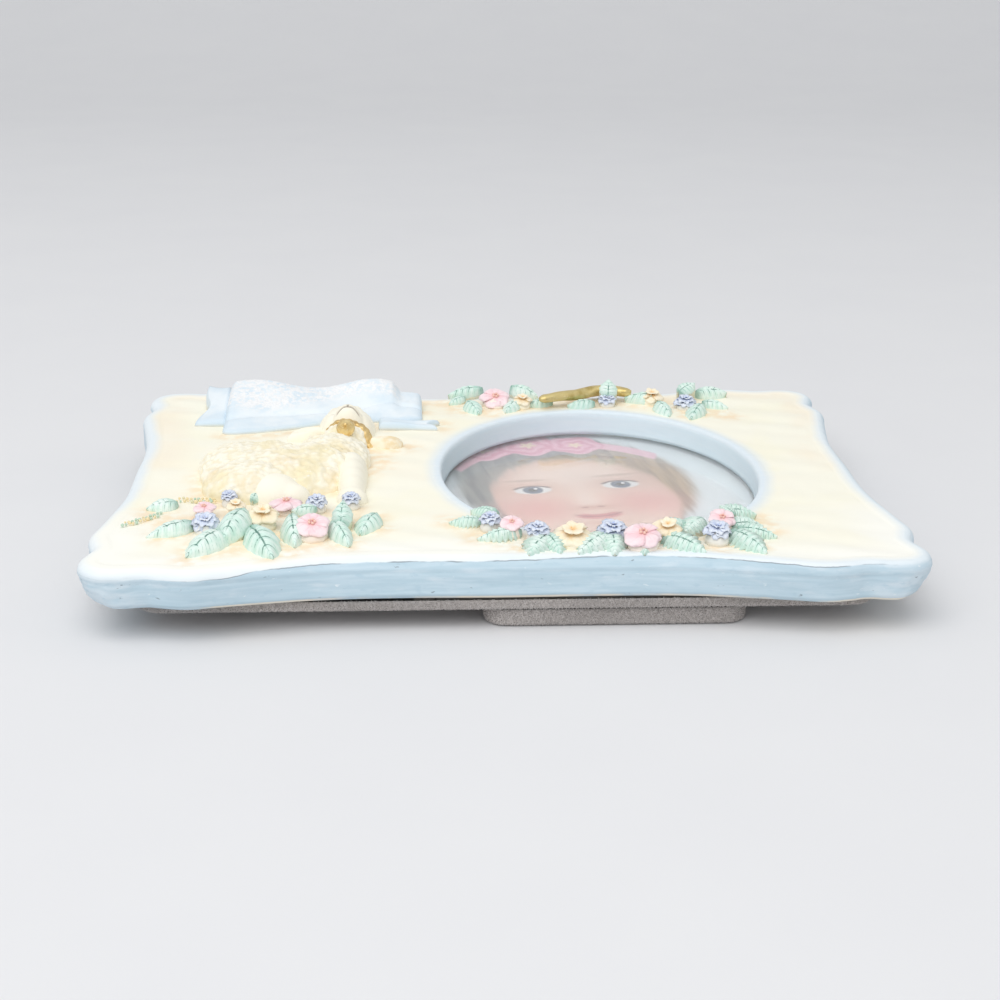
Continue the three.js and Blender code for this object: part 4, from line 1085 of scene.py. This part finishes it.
def rounding(t):  # quarter of a circle, from 0 to 1
    return np.sqrt(1 - (1 - np.clip(t, 0, 1)) ** 2)


def patch(name, edges, height, roundOff, columns=60, rows=24, frost=None):  # raised cloth between two edges
    u = np.linspace(0, 1, columns)[None, :]
    v = np.linspace(0, 1, rows)[:, None]
    near, far = (follow(u[0], np.linspace(0, 1, len(edge)), edge) for edge in edges)
    flat = near[None] * (1 - v[..., None]) + far[None] * v[..., None]
    wide = np.linalg.norm(np.diff(flat, axis=1), axis=2).sum(1).mean()
    tall = np.linalg.norm(np.diff(flat, axis=0), axis=2).sum(0)[None, :]
    border = np.minimum(np.minimum(u, 1 - u) * wide, np.minimum(v, 1 - v) * tall)
    rise = height(u, v, flat) * (0.4 + 0.6 * rounding(border / roundOff))
    top = np.concatenate([flat, groundZ + rise[..., None]], -1)
    bottom = np.concatenate([flat, np.full_like(rise, reliefFloor)[..., None]], -1)
    return shell(name, top, bottom, {"frost": frost(u, v) if frost else 0 * border, "rim": border})


def bannerPaint():
    graph, lay = newPaint("banner")
    spot = graph.spot()
    frost, rim, depth = graph.marks("frost", "rim", "depth")
    grit = graph.cells(spot, 1.5)
    soft = graph.noise(spot, 0.12)
    blue = graph.mix((222, 235, 244), (236, 243, 247), soft.fade(0.35, 0.65))
    # darker blue round the borders, where the cloth rounds down: painted shade
    blue = blue.coat((200, 220, 234), rim.fade(1.8, 0.2) * 0.5)
    icing = frost * graph.noise(spot, 0.6, 4).fade(0.38, 0.55)
    colour = blue.coat((248, 248, 248), icing)
    colour = colour.coat((226, 230, 235), icing * grit.fade(0.4, 0.8) * 0.4)
    # tan towards the foot of the side walls: painted shade under the cloth
    colour = colour.coat((243, 222, 186), depth * 0.5)
    relief = graph.bump(grit * frost + soft * 0.2, 0.5, 0.16)
    return lay(colour=colour, rough=0.5 - icing * 0.14, normal=relief, shine=0.4)


def buildBanner():
    v = bannerValues
    paint = bannerPaint()
    share = np.linspace(0, 1, 80)
    x = v["left"] + share * (v["right"] - v["left"])
    corner = v["cornerRound"] * (1 - rounding(np.minimum(share, 1 - share) * v["cornerRate"]))
    near = v["nearLeft"] + ease(share * 1.4) * (v["nearRight"] - v["nearLeft"]) + corner * 0.5
    edges = [np.column_stack([x, near]), np.column_stack([x, v["far"] - corner])]

    def rise(u, t, flat):
        swell = (1 + np.cos(2 * math.pi * v["waves"] * (u - v["firstCrest"]))) / 2
        crest = v["trough"] + swell * (v["crest"] - v["trough"])
        crest = crest * (1 - ease((u - 0.84) / 0.06)) + v["shelf"] * ease((u - 0.84) / 0.06)
        sheet = v["low"] + (crest - v["low"]) * ease(t * 0.92 + 0.04)
        fold = np.sin(2 * math.pi * (2.3 * u + 0.45 * t) + 0.5) * np.sin(math.pi * t) * v["fold"]
        crease = -0.7 * np.exp(-((t - 0.24 - 0.16 * u - 0.05 * np.sin(9 * u)) / 0.045) ** 2)
        grit = v["frost"] * sway(flat[..., 0] * 9, flat[..., 1] * 9, 21) * ease((t - 0.4) / 0.2)
        return sheet + fold + crease + grit

    def frosted(u, t):
        return ease((t - 0.38 + 0.1 * np.sin(7 * u)) / 0.22) * ease((0.93 - u) / 0.1)

    def climb(u, t, flat):
        return 1.6 + 4 * ease(t) + 0.3 * np.sin(5 * u + 2.5 * t)

    def ripple(u, t, flat):
        return 1.7 + 0.35 * np.sin(5 * u + 2.5 * t) + 0.15 * np.sin(11 * t)

    def swallow(piece, start, run, middle, spread, bite):  # notch in a ribbon's end
        points = getPoints(piece)
        out = np.clip((points[:, 0] - start) / run, 0, 1)
        notch = np.exp(-((points[:, 1] - middle) / spread) ** 2)
        points[:, 0] -= bite * math.copysign(1, run) * out ** 3 * notch
        setPoints(piece, points)

    banner = patch("banner", edges, rise, v["round"], 150, 60, frosted)
    settle(banner, paint, "frame", "scroll", "banner_scroll")
    for side, height in (("left", climb), ("right", ripple)):
        end = patch("banner_" + side + "_end", v[side + "End"], height, v["endRound"])
        swallow(end, *v[side + "Notch"])
        settle(end, paint, "frame", "scroll", "banner_tail_" + side)


buildBanner()
print("banner built")


# Leaves and flowers

# leaves as root and tip, each with its height, then width; sprigs as start and end;
# moulds as teeth, bite, ribs and rows
leafValues = {
    "lean": 24, "ribSlant": 0.85, "moulds": {"meadow": (5, 0.12, 5.5, 33), "swag": (8, 0.7, 8, 46)},
    "sprigBeads": 22, "sprigSide": 0.9,
    "sprigs": [((-92.6, -43.2), (-84.4, -36.4)), ((-81.6, -25.4), (-71.4, -26.2))],
    "sprigLeaf": (-62.4, -29, 1.3, -61.4, -26, 2.7, 3),
    "meadow": [(-67, -51.4, 2.4, -75.2, -65.6, 0.6, 8.6), (-61.4, -50.4, 2.6, -54.9, -67.4, 0.6, 8.6),
               (-63.6, -42, 4.2, -67.2, -57.4, 1.9, 8.4), (-75.4, -45.4, 2.1, -86, -52.2, 0.5, 6.6),
               (-81, -30, 1.6, -88.6, -32, 0.5, 5.6), (-52, -43.6, 3.2, -50.2, -60, 0.8, 6),
               (-42, -47, 2.6, -37.4, -59.4, 0.7, 5.4), (-39.8, -50, 2.6, -39.2, -41, 5.6, 5),
               (-31.4, -40.4, 2, -35.2, -51.6, 0.6, 6.4), (-46, -38.4, 2.8, -52.2, -39.2, 2.2, 4.2)],
    "lower": [(-5.5, -45.5, 1.9, -13.8, -44.3, 0.6, 4.6), (-1.8, -41, 2.2, -8.2, -37.1, 1.2, 4.4),
              (3.4, -53.2, 2, -7.4, -55.8, 0.6, 5), (9.4, -56.8, 2, 4.4, -65.9, 0.6, 6.4),
              (9.2, -56.1, 2.1, 12, -65.3, 0.6, 5.6), (24, -56.2, 2.2, 16, -65.5, 0.6, 7.4),
              (25, -56.6, 2.2, 24.6, -66.1, 0.6, 6), (37, -57.4, 2, 46.2, -65.9, 0.6, 7.4),
              (47.8, -48.4, 2.9, 42.6, -55.1, 1.7, 6), (43.6, -51, 2.8, 36, -52.6, 2.7, 4.4),
              (53.6, -55.5, 2.3, 60.4, -66.7, 0.6, 6.6), (54.4, -51.7, 2.4, 63, -49.2, 0.7, 5.6),
              (53.4, -43.2, 2.9, 62.6, -42.3, 1.2, 5.4), (56.6, -45.4, 2.4, 53, -43, 4, 3.4),
              (55.6, -53.6, 2.2, 65, -56.4, 0.6, 5), (32, -60.3, 1.6, 31.6, -66, 0.5, 3.4)],
    "upper": [(-0.6, 66.2, 3.3, -11.2, 63.9, 1.7, 5.4), (-5.6, 56.7, 1.9, -2.4, 48.1, 0.6, 5.4),
              (8, 66.5, 3.6, 16, 61.9, 1.7, 5.6), (9.6, 57.7, 1.9, 5.4, 49.1, 0.6, 5),
              (32.4, 55.9, 1.7, 24, 54.5, 1, 4.8), (36.4, 56.4, 2.8, 37, 60.4, 7.4, 5.4),
              (53, 59.4, 2.2, 41.6, 59.5, 1.9, 5.6), (51, 55.1, 1.9, 53.4, 44.7, 0.6, 5),
              (64, 52.7, 1.9, 59, 41.3, 0.6, 5.8), (64, 64.1, 2.4, 73.6, 64.1, 1.9, 5.2),
              (58, 59.6, 3.6, 63.4, 62.4, 5.4, 5), (64.6, 55.5, 1.7, 72, 52.2, 0.6, 4.4),
              (-6, 61.9, 1.7, -11, 58.1, 0.6, 3.6), (20, 57.7, 1.6, 12, 55.9, 1, 4.2)]}
# rings of petals as count, length, cup, width and rise, in shares of the radius and, for the cup, degrees;
# tones of base, light, heart, vein and eye
flowerValues = {
    "pink": {"rings": [(5, 1.06, -4, 1.28, 0)], "beads": 5, "tilt": 20, "height": 2.6,
             "tones": ((249, 214, 220), (254, 234, 237), (247, 200, 204), (242, 192, 201), (248, 206, 190))},
    "peach": {"rings": [(5, 1.1, -10, 1.25, 0), (5, 0.6, 24, 1.1, 0.1)], "beads": 3, "tilt": 15,
              "height": 2.8, "tones": ((251, 234, 200), (254, 244, 222), (244, 200, 140), (243, 216, 166),
                                       (238, 188, 120))},
    "blue": {"rings": [(7, 1.08, -14, 1.0, 0), (7, 0.84, 4, 0.9, 0.06), (5, 0.56, 24, 0.95, 0.1),
                       (3, 0.3, 46, 1.0, 0.14)], "beads": 0, "tilt": 12, "height": 2.4,
             "tones": ((204, 216, 242), (236, 241, 250), (188, 200, 234), (186, 198, 234), (228, 224, 190))}}
flowerRise = {"meadow": 0.8, "lower": 1.1, "upper": 0.2}
bloomShares = {"mound": 0.86, "eyeReach": 0.15, "eyeRise": 0.1, "eyeSize": 0.08}  # of the radius
# blooms with a step aside, height, tilt and share of size of their own
ownBloom = {
    "meadow_blue_flower_1": (0, 0, 3, 16, 0.95), "meadow_pink_flower_2": (0.3, 1, 2.9, 12, 1),
    "meadow_blue_flower_3": (0.6, 2, 3.2, 12, 1), "meadow_peach_flower_4": (0, 0.5, 3.2, 14, 0.85),
    "meadow_pink_flower_5": (0.4, 2.4, 3, 6, 1.12), "meadow_peach_flower_6": (-0.4, 3.6, 4.4, 16, 1.2),
    "meadow_blue_flower_7": (-0.5, 2, 3.2, 16, 0.9), "meadow_blue_flower_8": (-0.6, 2.4, 3.2, 14, 0.9),
    "meadow_pink_flower_9": (-1, 0.4, 3.8, 22, 0.95), "lower_peach_flower_4": (-0.3, 0, 3.2, 12, 1.22),
    "lower_blue_flower_5": (0, 0.4, 3.2, 10, 1.25), "lower_pink_flower_6": (-0.3, 0.4, 3.7, 18, 1.1),
    "lower_peach_flower_7": (-1.2, 0.4, 3.6, 12, 1.1), "lower_blue_flower_8": (0.4, 1, 3.8, 14, 1)}
bladeMarks = ("along", "across", "depth", "shade", "bead")


def scatterTree():  # one pattern, and beads, on points that carry their aim and size
    graph, inputs = newTree("spray", {"Pattern": "Object", "Bead": "Object", "Floor": "Float"})
    turned = graph.add("FunctionNodeEulerToRotation", None, {0: graph.field("aim", "FLOAT_VECTOR")})
    size = graph.field("size", "FLOAT_VECTOR")
    sets = []
    for shape, test in (("Pattern", "LESS_THAN"), ("Bead", "GREATER_THAN")):
        mould = graph.add("GeometryNodeObjectInfo", None, {"Object": inputs[shape]}, "Geometry")
        chosen = graph.field("bead").calc(test, 0.5)
        links = {"Points": inputs["Geometry"], "Selection": chosen, "Instance": mould, "Rotation": turned}
        sets.append(graph.add("GeometryNodeInstanceOnPoints", None, {**links, "Scale": size}))
    real = graph.add("GeometryNodeRealizeInstances", None, {0: graph.join(*sets)})
    x, y, z = graph.parts(graph.add("GeometryNodeInputPosition"))
    under = graph.field("depth") * graph.field("foot") * graph.field("solid")  # down to the ground
    z = z * (1 - under) + inputs["Floor"] * under
    level = graph.add("ShaderNodeCombineXYZ", None, {0: x, 1: y, 2: z.calc("MAXIMUM", inputs["Floor"])})
    rested = graph.add("GeometryNodeSetPosition", None, {"Geometry": real, "Position": level})
    return closeTree(graph, rested, inputs)


def bladePattern(name, width, crown, thin, ribs, rows, columns):  # unit length along x
    t = np.linspace(0.004, 0.996, rows)[:, None]
    s = np.linspace(-1, 1, columns)[None, :]
    half = width(t) / 2
    x, lift = crown(t, s)
    top = np.stack([x + 0 * s, s * half, lift + 0 * t], -1)
    inner = np.minimum(1 - np.abs(s), 1 - np.abs(2 * t - 1))
    drop = thin * (0.4 + 0.6 * ease(inner / 0.3))
    bottom = top - np.stack([0 * drop, 0 * drop, drop], -1)
    rib = t * ribs - leafValues["ribSlant"] * np.abs(s)
    marks = {"along": t + 0 * s, "across": s + 0 * t, "rib": rib, "foot": inner > 0.03}
    return shell(name, top / mm, bottom / mm, marks)


def leafMould(name, teeth, bite, ribs, rows):
    slant = leafValues["ribSlant"]

    def width(t):
        saw = (t * teeth - slant) % 1
        return np.sin(math.pi * t ** 0.86) ** 0.6 * (1 + bite * (saw - 0.5))

    def crown(t, s):
        arch = 0.1 * np.sin(math.pi * t ** 0.9)
        rib = -0.06 * np.exp(-(s / 0.13) ** 2) * (1 - t)
        swell = np.abs(np.sin(math.pi * (t * ribs - slant * np.abs(s)))) ** 0.7
        pillow = 0.15 / ribs * swell * (1 - 0.6 * s ** 2) * np.sin(math.pi * t)
        curl = -0.19 * np.abs(s) ** 2.2 + 0.03 * s
        return t - 0.03 * np.abs(s), arch + rib + pillow + curl
    return bladePattern(name, width, crown, 0.05, ribs, rows, 15)


def petalMould(name, frill, rows, columns):
    def width(t):
        return 0.16 + 0.76 * np.sin(math.pi * np.clip(t, 0, 1) ** 1.15 * 0.86) ** 0.85

    def crown(t, s):
        notch = 0.05 * np.exp(-(s / 0.3) ** 2) * t ** 4
        bowl = 0.16 * t - 0.24 * t ** 3 - 0.14 * np.abs(s) ** 2.5 * t * (1 - frill)
        wave = frill * 0.09 * np.sin(3 * math.pi * s + 1) * t ** 2 - 0.05 * np.exp(-(s / 0.18) ** 2) * t
        tip = 0.36 * (1 - np.sqrt(np.clip(1 - s ** 2, 0, 1))) * t ** 3
        return t - notch - tip, bowl + wave
    return bladePattern(name, width, crown, 0.06, 1, rows, columns)


def beadMould(steps=6, around=8):
    points, faces = ball(steps, around, 0.02)
    zero = np.zeros(len(points))
    marks = {"along": zero + 0.1, "across": zero, "depth": zero, "rib": zero}
    return outward(makeMesh("bead", points / mm, faces + caps(steps, around), marks))


def leafPaint():
    graph, lay = newPaint("leaf")
    spot = graph.spot()
    along, across, depth, shade, bead, rib = graph.marks(*bladeMarks, "rib")
    blade = 1 - bead
    edge = abs(across)
    smear = graph.noise(spot, 0.5)
    green = graph.mix((213, 239, 227), (235, 248, 241), smear.fade(0.35, 0.65))
    green = green.coat((196, 230, 216), shade * 0.7)
    ribs = abs(rib.calc("FRACT") - 0.5)
    broken = graph.noise(spot, 0.6, 4).fade(0.38, 0.56)
    green = green.coat((240, 250, 244), ribs.fade(0.32, 0.1) * blade * 0.45)
    hatch = abs((rib * 3).calc("FRACT") - 0.5).fade(0.34, 0.48) * blade
    green = green.coat((150, 198, 182), hatch * graph.noise(spot, 0.9).fade(0.4, 0.62) * 0.55)
    vein = ribs.fade(0.42, 0.485) * edge.fade(0.85, 0.35) + edge.fade(0.08, 0.03) * along.fade(0.95, 0.6)
    green = green.coat((84, 132, 118), vein.calc("MINIMUM", 1) * broken * blade * 0.95)
    green = green.coat((226, 242, 232), edge.fade(0.8, 1) * 0.6)
    # darker teal towards the root: painted shade where the leaves crowd together under the flowers
    green = green.coat((126, 176, 160), along.fade(0.3, 0.02) * blade * 0.6)
    yellow = graph.mix((196, 220, 200), (246, 228, 184), shade.fade(0.4, 0.6))
    green = green.coat(yellow, bead)
    colour = green.coat((236, 229, 204), depth.fade(0.3, 1) * blade * 0.8)  # bare casting below
    return lay(colour=colour, rough=0.5 + smear * 0.14, normal=graph.bump(smear, 0.3, 0.1), shine=0.4)


def petalPaint(name, base, light, heart, vein, eye):
    graph, lay = newPaint(name)
    along, across, depth, shade, bead = graph.marks(*bladeMarks)
    smear = graph.noise(graph.spot(), 0.6)
    colour = graph.mix(base, light, smear.fade(0.35, 0.65) * 0.7 + shade * 0.3)
    colour = colour.coat(light, along.fade(0.5, 1) * 0.8)
    colour = colour.coat(vein, (across * 9).calc("SINE").fade(0.75, 1) * along.fade(0.9, 0.3) * 0.4)
    colour = colour.coat(heart, along.fade(0.5, 0.08) * (1 - bead) * 0.85)
    colour = colour.coat(eye, bead)
    colour = colour.coat(graph.mix(base, (253, 247, 230), 0.75), bead.fade(1.4, 1.6))  # mound below
    # petal undersides and edges darker: painted shade under the petals
    colour = colour.coat(vein, depth.fade(0.03, 0.4) * 0.5)
    return lay(colour=colour, rough=0.5 + smear * 0.12, normal=graph.bump(smear, 0.3, 0.08), shine=0.4)


def pointCloud(name, rows):  # rows of (x, y, z), turn matrix, size, bead, shade, solid
    places, aims, sizes, *plain = zip(*rows)
    marks = dict(zip(("bead", "shade", "solid"), plain))
    marks["aim"] = [tuple(aim.to_euler()) for aim in aims]
    marks["size"] = np.array(sizes) * mm
    return makeMesh(name, places, [], marks)


def turnTo(yaw=0, pitch=0, roll=0, tilt=0):
    turn = Matrix.Rotation(tilt, 3, "X")
    for angle, axis in ((yaw, "Z"), (pitch, "Y"), (roll, "X")):
        turn = turn @ Matrix.Rotation(angle, 3, axis)
    return turn


def leafRow(x, y, lift, tipX, tipY, tipLift, width):  # its face leans towards the near side
    run = math.hypot(tipX - x, tipY - y)
    length = math.hypot(run, lift - tipLift)
    yaw = math.atan2(tipY - y, tipX - x)
    roll = math.radians(leafValues["lean"] * math.cos(yaw) + rng.uniform(-5, 5))
    aim = turnTo(yaw, math.atan2(lift - tipLift, run), roll)
    return ((x, y, groundZ + lift), aim, (length, width, max(length, 5)), 0, rng.uniform(0, 1), 1)


def beadRow(x, y, z, radius, shade):
    return ((x, y, z), turnTo(), (radius, radius, radius), 1, shade, 0)


def buildSprays(tree, bead):
    v = leafValues
    green = leafPaint()
    smooth = leafMould("meadow_leaf", *v["moulds"]["meadow"])
    toothed = leafMould("swag_leaf", *v["moulds"]["swag"])
    sprig = []
    for start, end in v["sprigs"]:
        for i, t in enumerate(np.linspace(0, 1, v["sprigBeads"])):
            side = v["sprigSide"] if i % 2 else -v["sprigSide"]
            x = start[0] + t * (end[0] - start[0])
            y = start[1] + t * (end[1] - start[1]) + side + rng.uniform(-0.3, 0.3)
            z = groundZ + (0.25 + 0.3 * rng.uniform())
            sprig.append(beadRow(x, y, z, rng.uniform(0.3, 0.48), rng.uniform()))
    sprig.append(leafRow(*v["sprigLeaf"]))
    for place, mould, more in (("meadow", smooth, sprig), ("lower", toothed, []), ("upper", smooth, [])):
        cloud = pointCloud(place + "_leaves", [leafRow(*leaf) for leaf in v[place]] + more)
        spray = grow(cloud, tree, Pattern=mould, Bead=bead, Floor=reliefFloor * mm, Material=green)
        settle(spray, green, "frame", "leaf", place + "_leaf_spray")
    drop(smooth, toothed)


def bloomRows(x, y, height, radius, tilt, v):  # petals, beads and the mound under them
    part = {key: share * radius for key, share in bloomShares.items()}
    start = rng.uniform(0, 6)
    rows = []
    centre = Vector((x, y, groundZ + height))
    lean = turnTo(tilt=tilt)
    for count, share, cup, wideness, rise in v["rings"]:
        middle = tuple(centre + lean @ Vector((0, 0, rise * radius)))
        for i in range(count):
            yaw = start + share * 2 + (i + rng.uniform(-0.08, 0.08)) * 2 * math.pi / count
            pitch = -math.radians(cup + rng.uniform(-6, 6))
            aim = turnTo(yaw, pitch, math.radians(rng.uniform(-8, 8)), tilt)
            reach = radius * share * rng.uniform(0.92, 1.06)
            rows.append((middle, aim, (reach, reach * wideness, reach), 0, rng.uniform(), 0))
    for i in range(v["beads"]):
        aim = turnTo(i * 2 * math.pi / v["beads"], tilt=tilt)
        place = centre + aim @ Vector((part["eyeReach"], 0, part["eyeRise"]))
        rows.append(beadRow(*place, part["eyeSize"], rng.uniform()))
    mound = (part["mound"], part["mound"], height - 0.1)
    rows.append(((x, y, groundZ), turnTo(tilt=0.4 * tilt), mound, 2, 0.5, 0))
    return rows


def buildFlowers(tree, bead):
    wide = petalMould("wide_petal", 0, 9, 9)
    frilled = petalMould("frilled_petal", 1, 5, 7)
    paints = {tint: petalPaint(tint + " petal", *v["tones"]) for tint, v in flowerValues.items()}
    for name in [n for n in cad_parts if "_flower_" in n]:
        place, tint = name.split("_")[:2]
        v = flowerValues[tint]
        low, high = boxOf(name)
        usual = (0, 0, v["height"] + flowerRise[place], v["tilt"], 1)
        right, back, height, tilt, share = ownBloom.get(name, usual)
        x, y = (low + high)[:2] / 2 + (right, back)
        radius = (high - low)[:2].max() / 2 * share
        tilt = math.radians(tilt + rng.uniform(-4, 4))
        cloud = pointCloud(name.replace("_flower_", "_bloom_"), bloomRows(x, y, height, radius, tilt, v))
        mould = frilled if tint == "blue" else wide
        bloom = grow(cloud, tree, Pattern=mould, Bead=bead, Floor=reliefFloor * mm, Material=paints[tint])
        settle(bloom, paints[tint], "frame", tint, name)
    drop(wide, frilled)


sprayTree = scatterTree()
seedBead = beadMould()
buildSprays(sprayTree, seedBead)
buildFlowers(sprayTree, seedBead)
drop(seedBead)
print("leaves and flowers built")


# Velvet on board and leg

velvetValues = {"pile": 0.4, "proud": 0.42, "thick": 0.5, "round": 0.7, "fibre": 0.13, "lean": 0.55,
                "density": 13e6, "boardFace": 0.09, "legFace": 0.26, "hem": 0.4, "seed": 11,
                "hemFrom": 40, "hemRun": 8, "gap": 1.2, "faceInset": 0.4}


def pileTree():
    sockets = {"Density": "Float", "Length": "Float", "Thickness": "Float", "Lean": "Float", "Seed": "Int"}
    graph, inputs = newTree("pile", sockets)
    density = inputs["Density"] * graph.field("outer")
    links = {"Mesh": inputs["Geometry"], "Density": density, "Seed": inputs["Seed"]}
    spread = graph.add("GeometryNodeDistributePointsOnFaces", None, links)
    facing = Value(graph, spread.socket.node.outputs["Rotation"])
    links = {"Vertices": 3, "Radius Top": 0.0, "Radius Bottom": inputs["Thickness"]}
    links["Depth"] = inputs["Length"]
    fibre = graph.add("GeometryNodeMeshCone", {"fill_type": "NONE"}, links)
    height = graph.parts(graph.add("GeometryNodeInputPosition"))[2]
    marked = graph.store(fibre, "tip", height / inputs["Length"])
    links = {0: (-1, -1, 0), 1: (1, 1, 6.28), "Seed": inputs["Seed"]}
    swing = graph.add("FunctionNodeRandomValue", {"data_type": "FLOAT_VECTOR"}, links)
    swing = graph.add("FunctionNodeEulerToRotation", None, {0: graph.scaled(swing, inputs["Lean"])})
    aim = graph.add("FunctionNodeRotateRotation", {"rotation_space": "LOCAL"}, {0: facing, 1: swing})
    links = {"Points": spread, "Instance": marked, "Rotation": aim}
    planted = graph.add("GeometryNodeInstanceOnPoints", None, links)
    return closeTree(graph, graph.join(planted, inputs["Geometry"]), inputs)


def velvetPaint():
    graph, lay = newPaint("velvet")
    spot = graph.spot()
    crush = graph.noise(spot, 0.05, 4)
    fine = graph.noise(spot, 4, 2)
    nap = crush.fade(0.35, 0.65) * 0.35 + fine.fade(0.3, 0.7) * 0.65
    colour = graph.mix((170, 164, 161), (204, 198, 195), nap)
    # fibre tips lighter than their roots: painted light on the top of the pile
    colour = colour.coat((222, 217, 214), graph.marks("tip")[0] * fine.fade(0.35, 0.6) * 0.8)
    return lay(colour=colour, rough=0.92, sheen=0.25, shine=0.1, normal=graph.bump(fine, 0.4, 0.1))


def levelRing(name, height):  # outer outline of a convex CAD node at one height
    points = nodePoints(name)
    level = points[np.abs(points[:, 2] - height) < levelGap][:, :2]
    level = np.unique(np.round(level, 3), axis=0)
    middle = (level.min(0) + level.max(0)) / 2
    hull = level[np.argsort(np.arctan2(level[:, 1] - middle[1], level[:, 0] - middle[0]))]
    keep = []
    for p in hull:  # drop the inner ring of a tray
        while len(keep) > 1:
            (ax, ay), (bx, by) = keep[-1] - keep[-2], p - keep[-1]
            if ax * by - ay * bx > 0:
                break
            keep.pop()
        keep.append(p)
    return np.array(keep)


def evenRing(ring, gap):
    closed = np.concatenate([ring, ring[:1]])
    run = np.concatenate([[0], np.cumsum(np.linalg.norm(np.diff(closed, axis=0), axis=1))])
    at = np.linspace(0, run[-1], max(48, int(run[-1] / gap)), endpoint=False)
    return follow(at, run, closed)


def buildVelvet(name, node, face, tree, paint, body):
    v = velvetValues
    low, high = boxOf(node)
    foot = low[2] + v["pile"]
    ring = evenRing(levelRing(node, low[2]), v["gap"])
    hem = v["hem"] * ease((v["hemFrom"] - ring[:, 1]) / v["hemRun"])  # above the board, clear of the slot
    hem = hem * (body == "frame")
    # each row is a depth inwards, a height and a share of the pile; the last two are the inner skin
    rows = [(v["pile"], z, 1) for z in np.linspace(high[2], foot + v["round"], 6)]
    for a in quarter(0, 7)[1:]:
        rows.append((v["pile"] + v["round"] * (1 - math.cos(a)), foot + v["round"] * (1 - math.sin(a)), 1))
    rows.append((v["pile"] + v["round"] + v["faceInset"], foot, face))
    rows += [(v["thick"], low[2] + v["thick"], 0), (v["thick"], high[2], 0)]
    loops = [np.column_stack([ring + inwards(ring, 1) * d, z + hem * (z == high[2])]) for d, z, _ in rows]
    points = np.concatenate(loops)
    count = len(ring)
    base = (len(rows) - 2) * count
    faces = gridFaces(len(rows) - 2, count, closed=True)
    faces += [tuple(range(base - count, base))]
    faces += [tuple(i + base for i in f) for f in gridFaces(2, count, closed=True)]
    faces += [tuple(range(base, base + count))]
    faces += [(base + count + i, base + count + (i + 1) % count, (i + 1) % count, i) for i in range(count)]
    outer = np.repeat([r[2] for r in rows], count)
    skin = outward(makeMesh(name, points, faces, {"outer": outer, "tip": np.zeros(len(points))}))
    grow(skin, tree, Density=v["density"], Length=v["proud"] * mm, Thickness=v["fibre"] * mm, Lean=v["lean"],
         Seed=v["seed"], Material=paint)
    settle(skin, paint, body, "velvet", node)


def finishVelvet():
    tree = pileTree()
    paint = velvetPaint()
    buildVelvet("board_velvet", "backing_velvet", velvetValues["boardFace"], tree, paint, "frame")
    buildVelvet("leg_velvet", "easel_leg_velvet", velvetValues["legFace"], tree, paint, "easel_leg")


finishVelvet()
print("velvet laid")
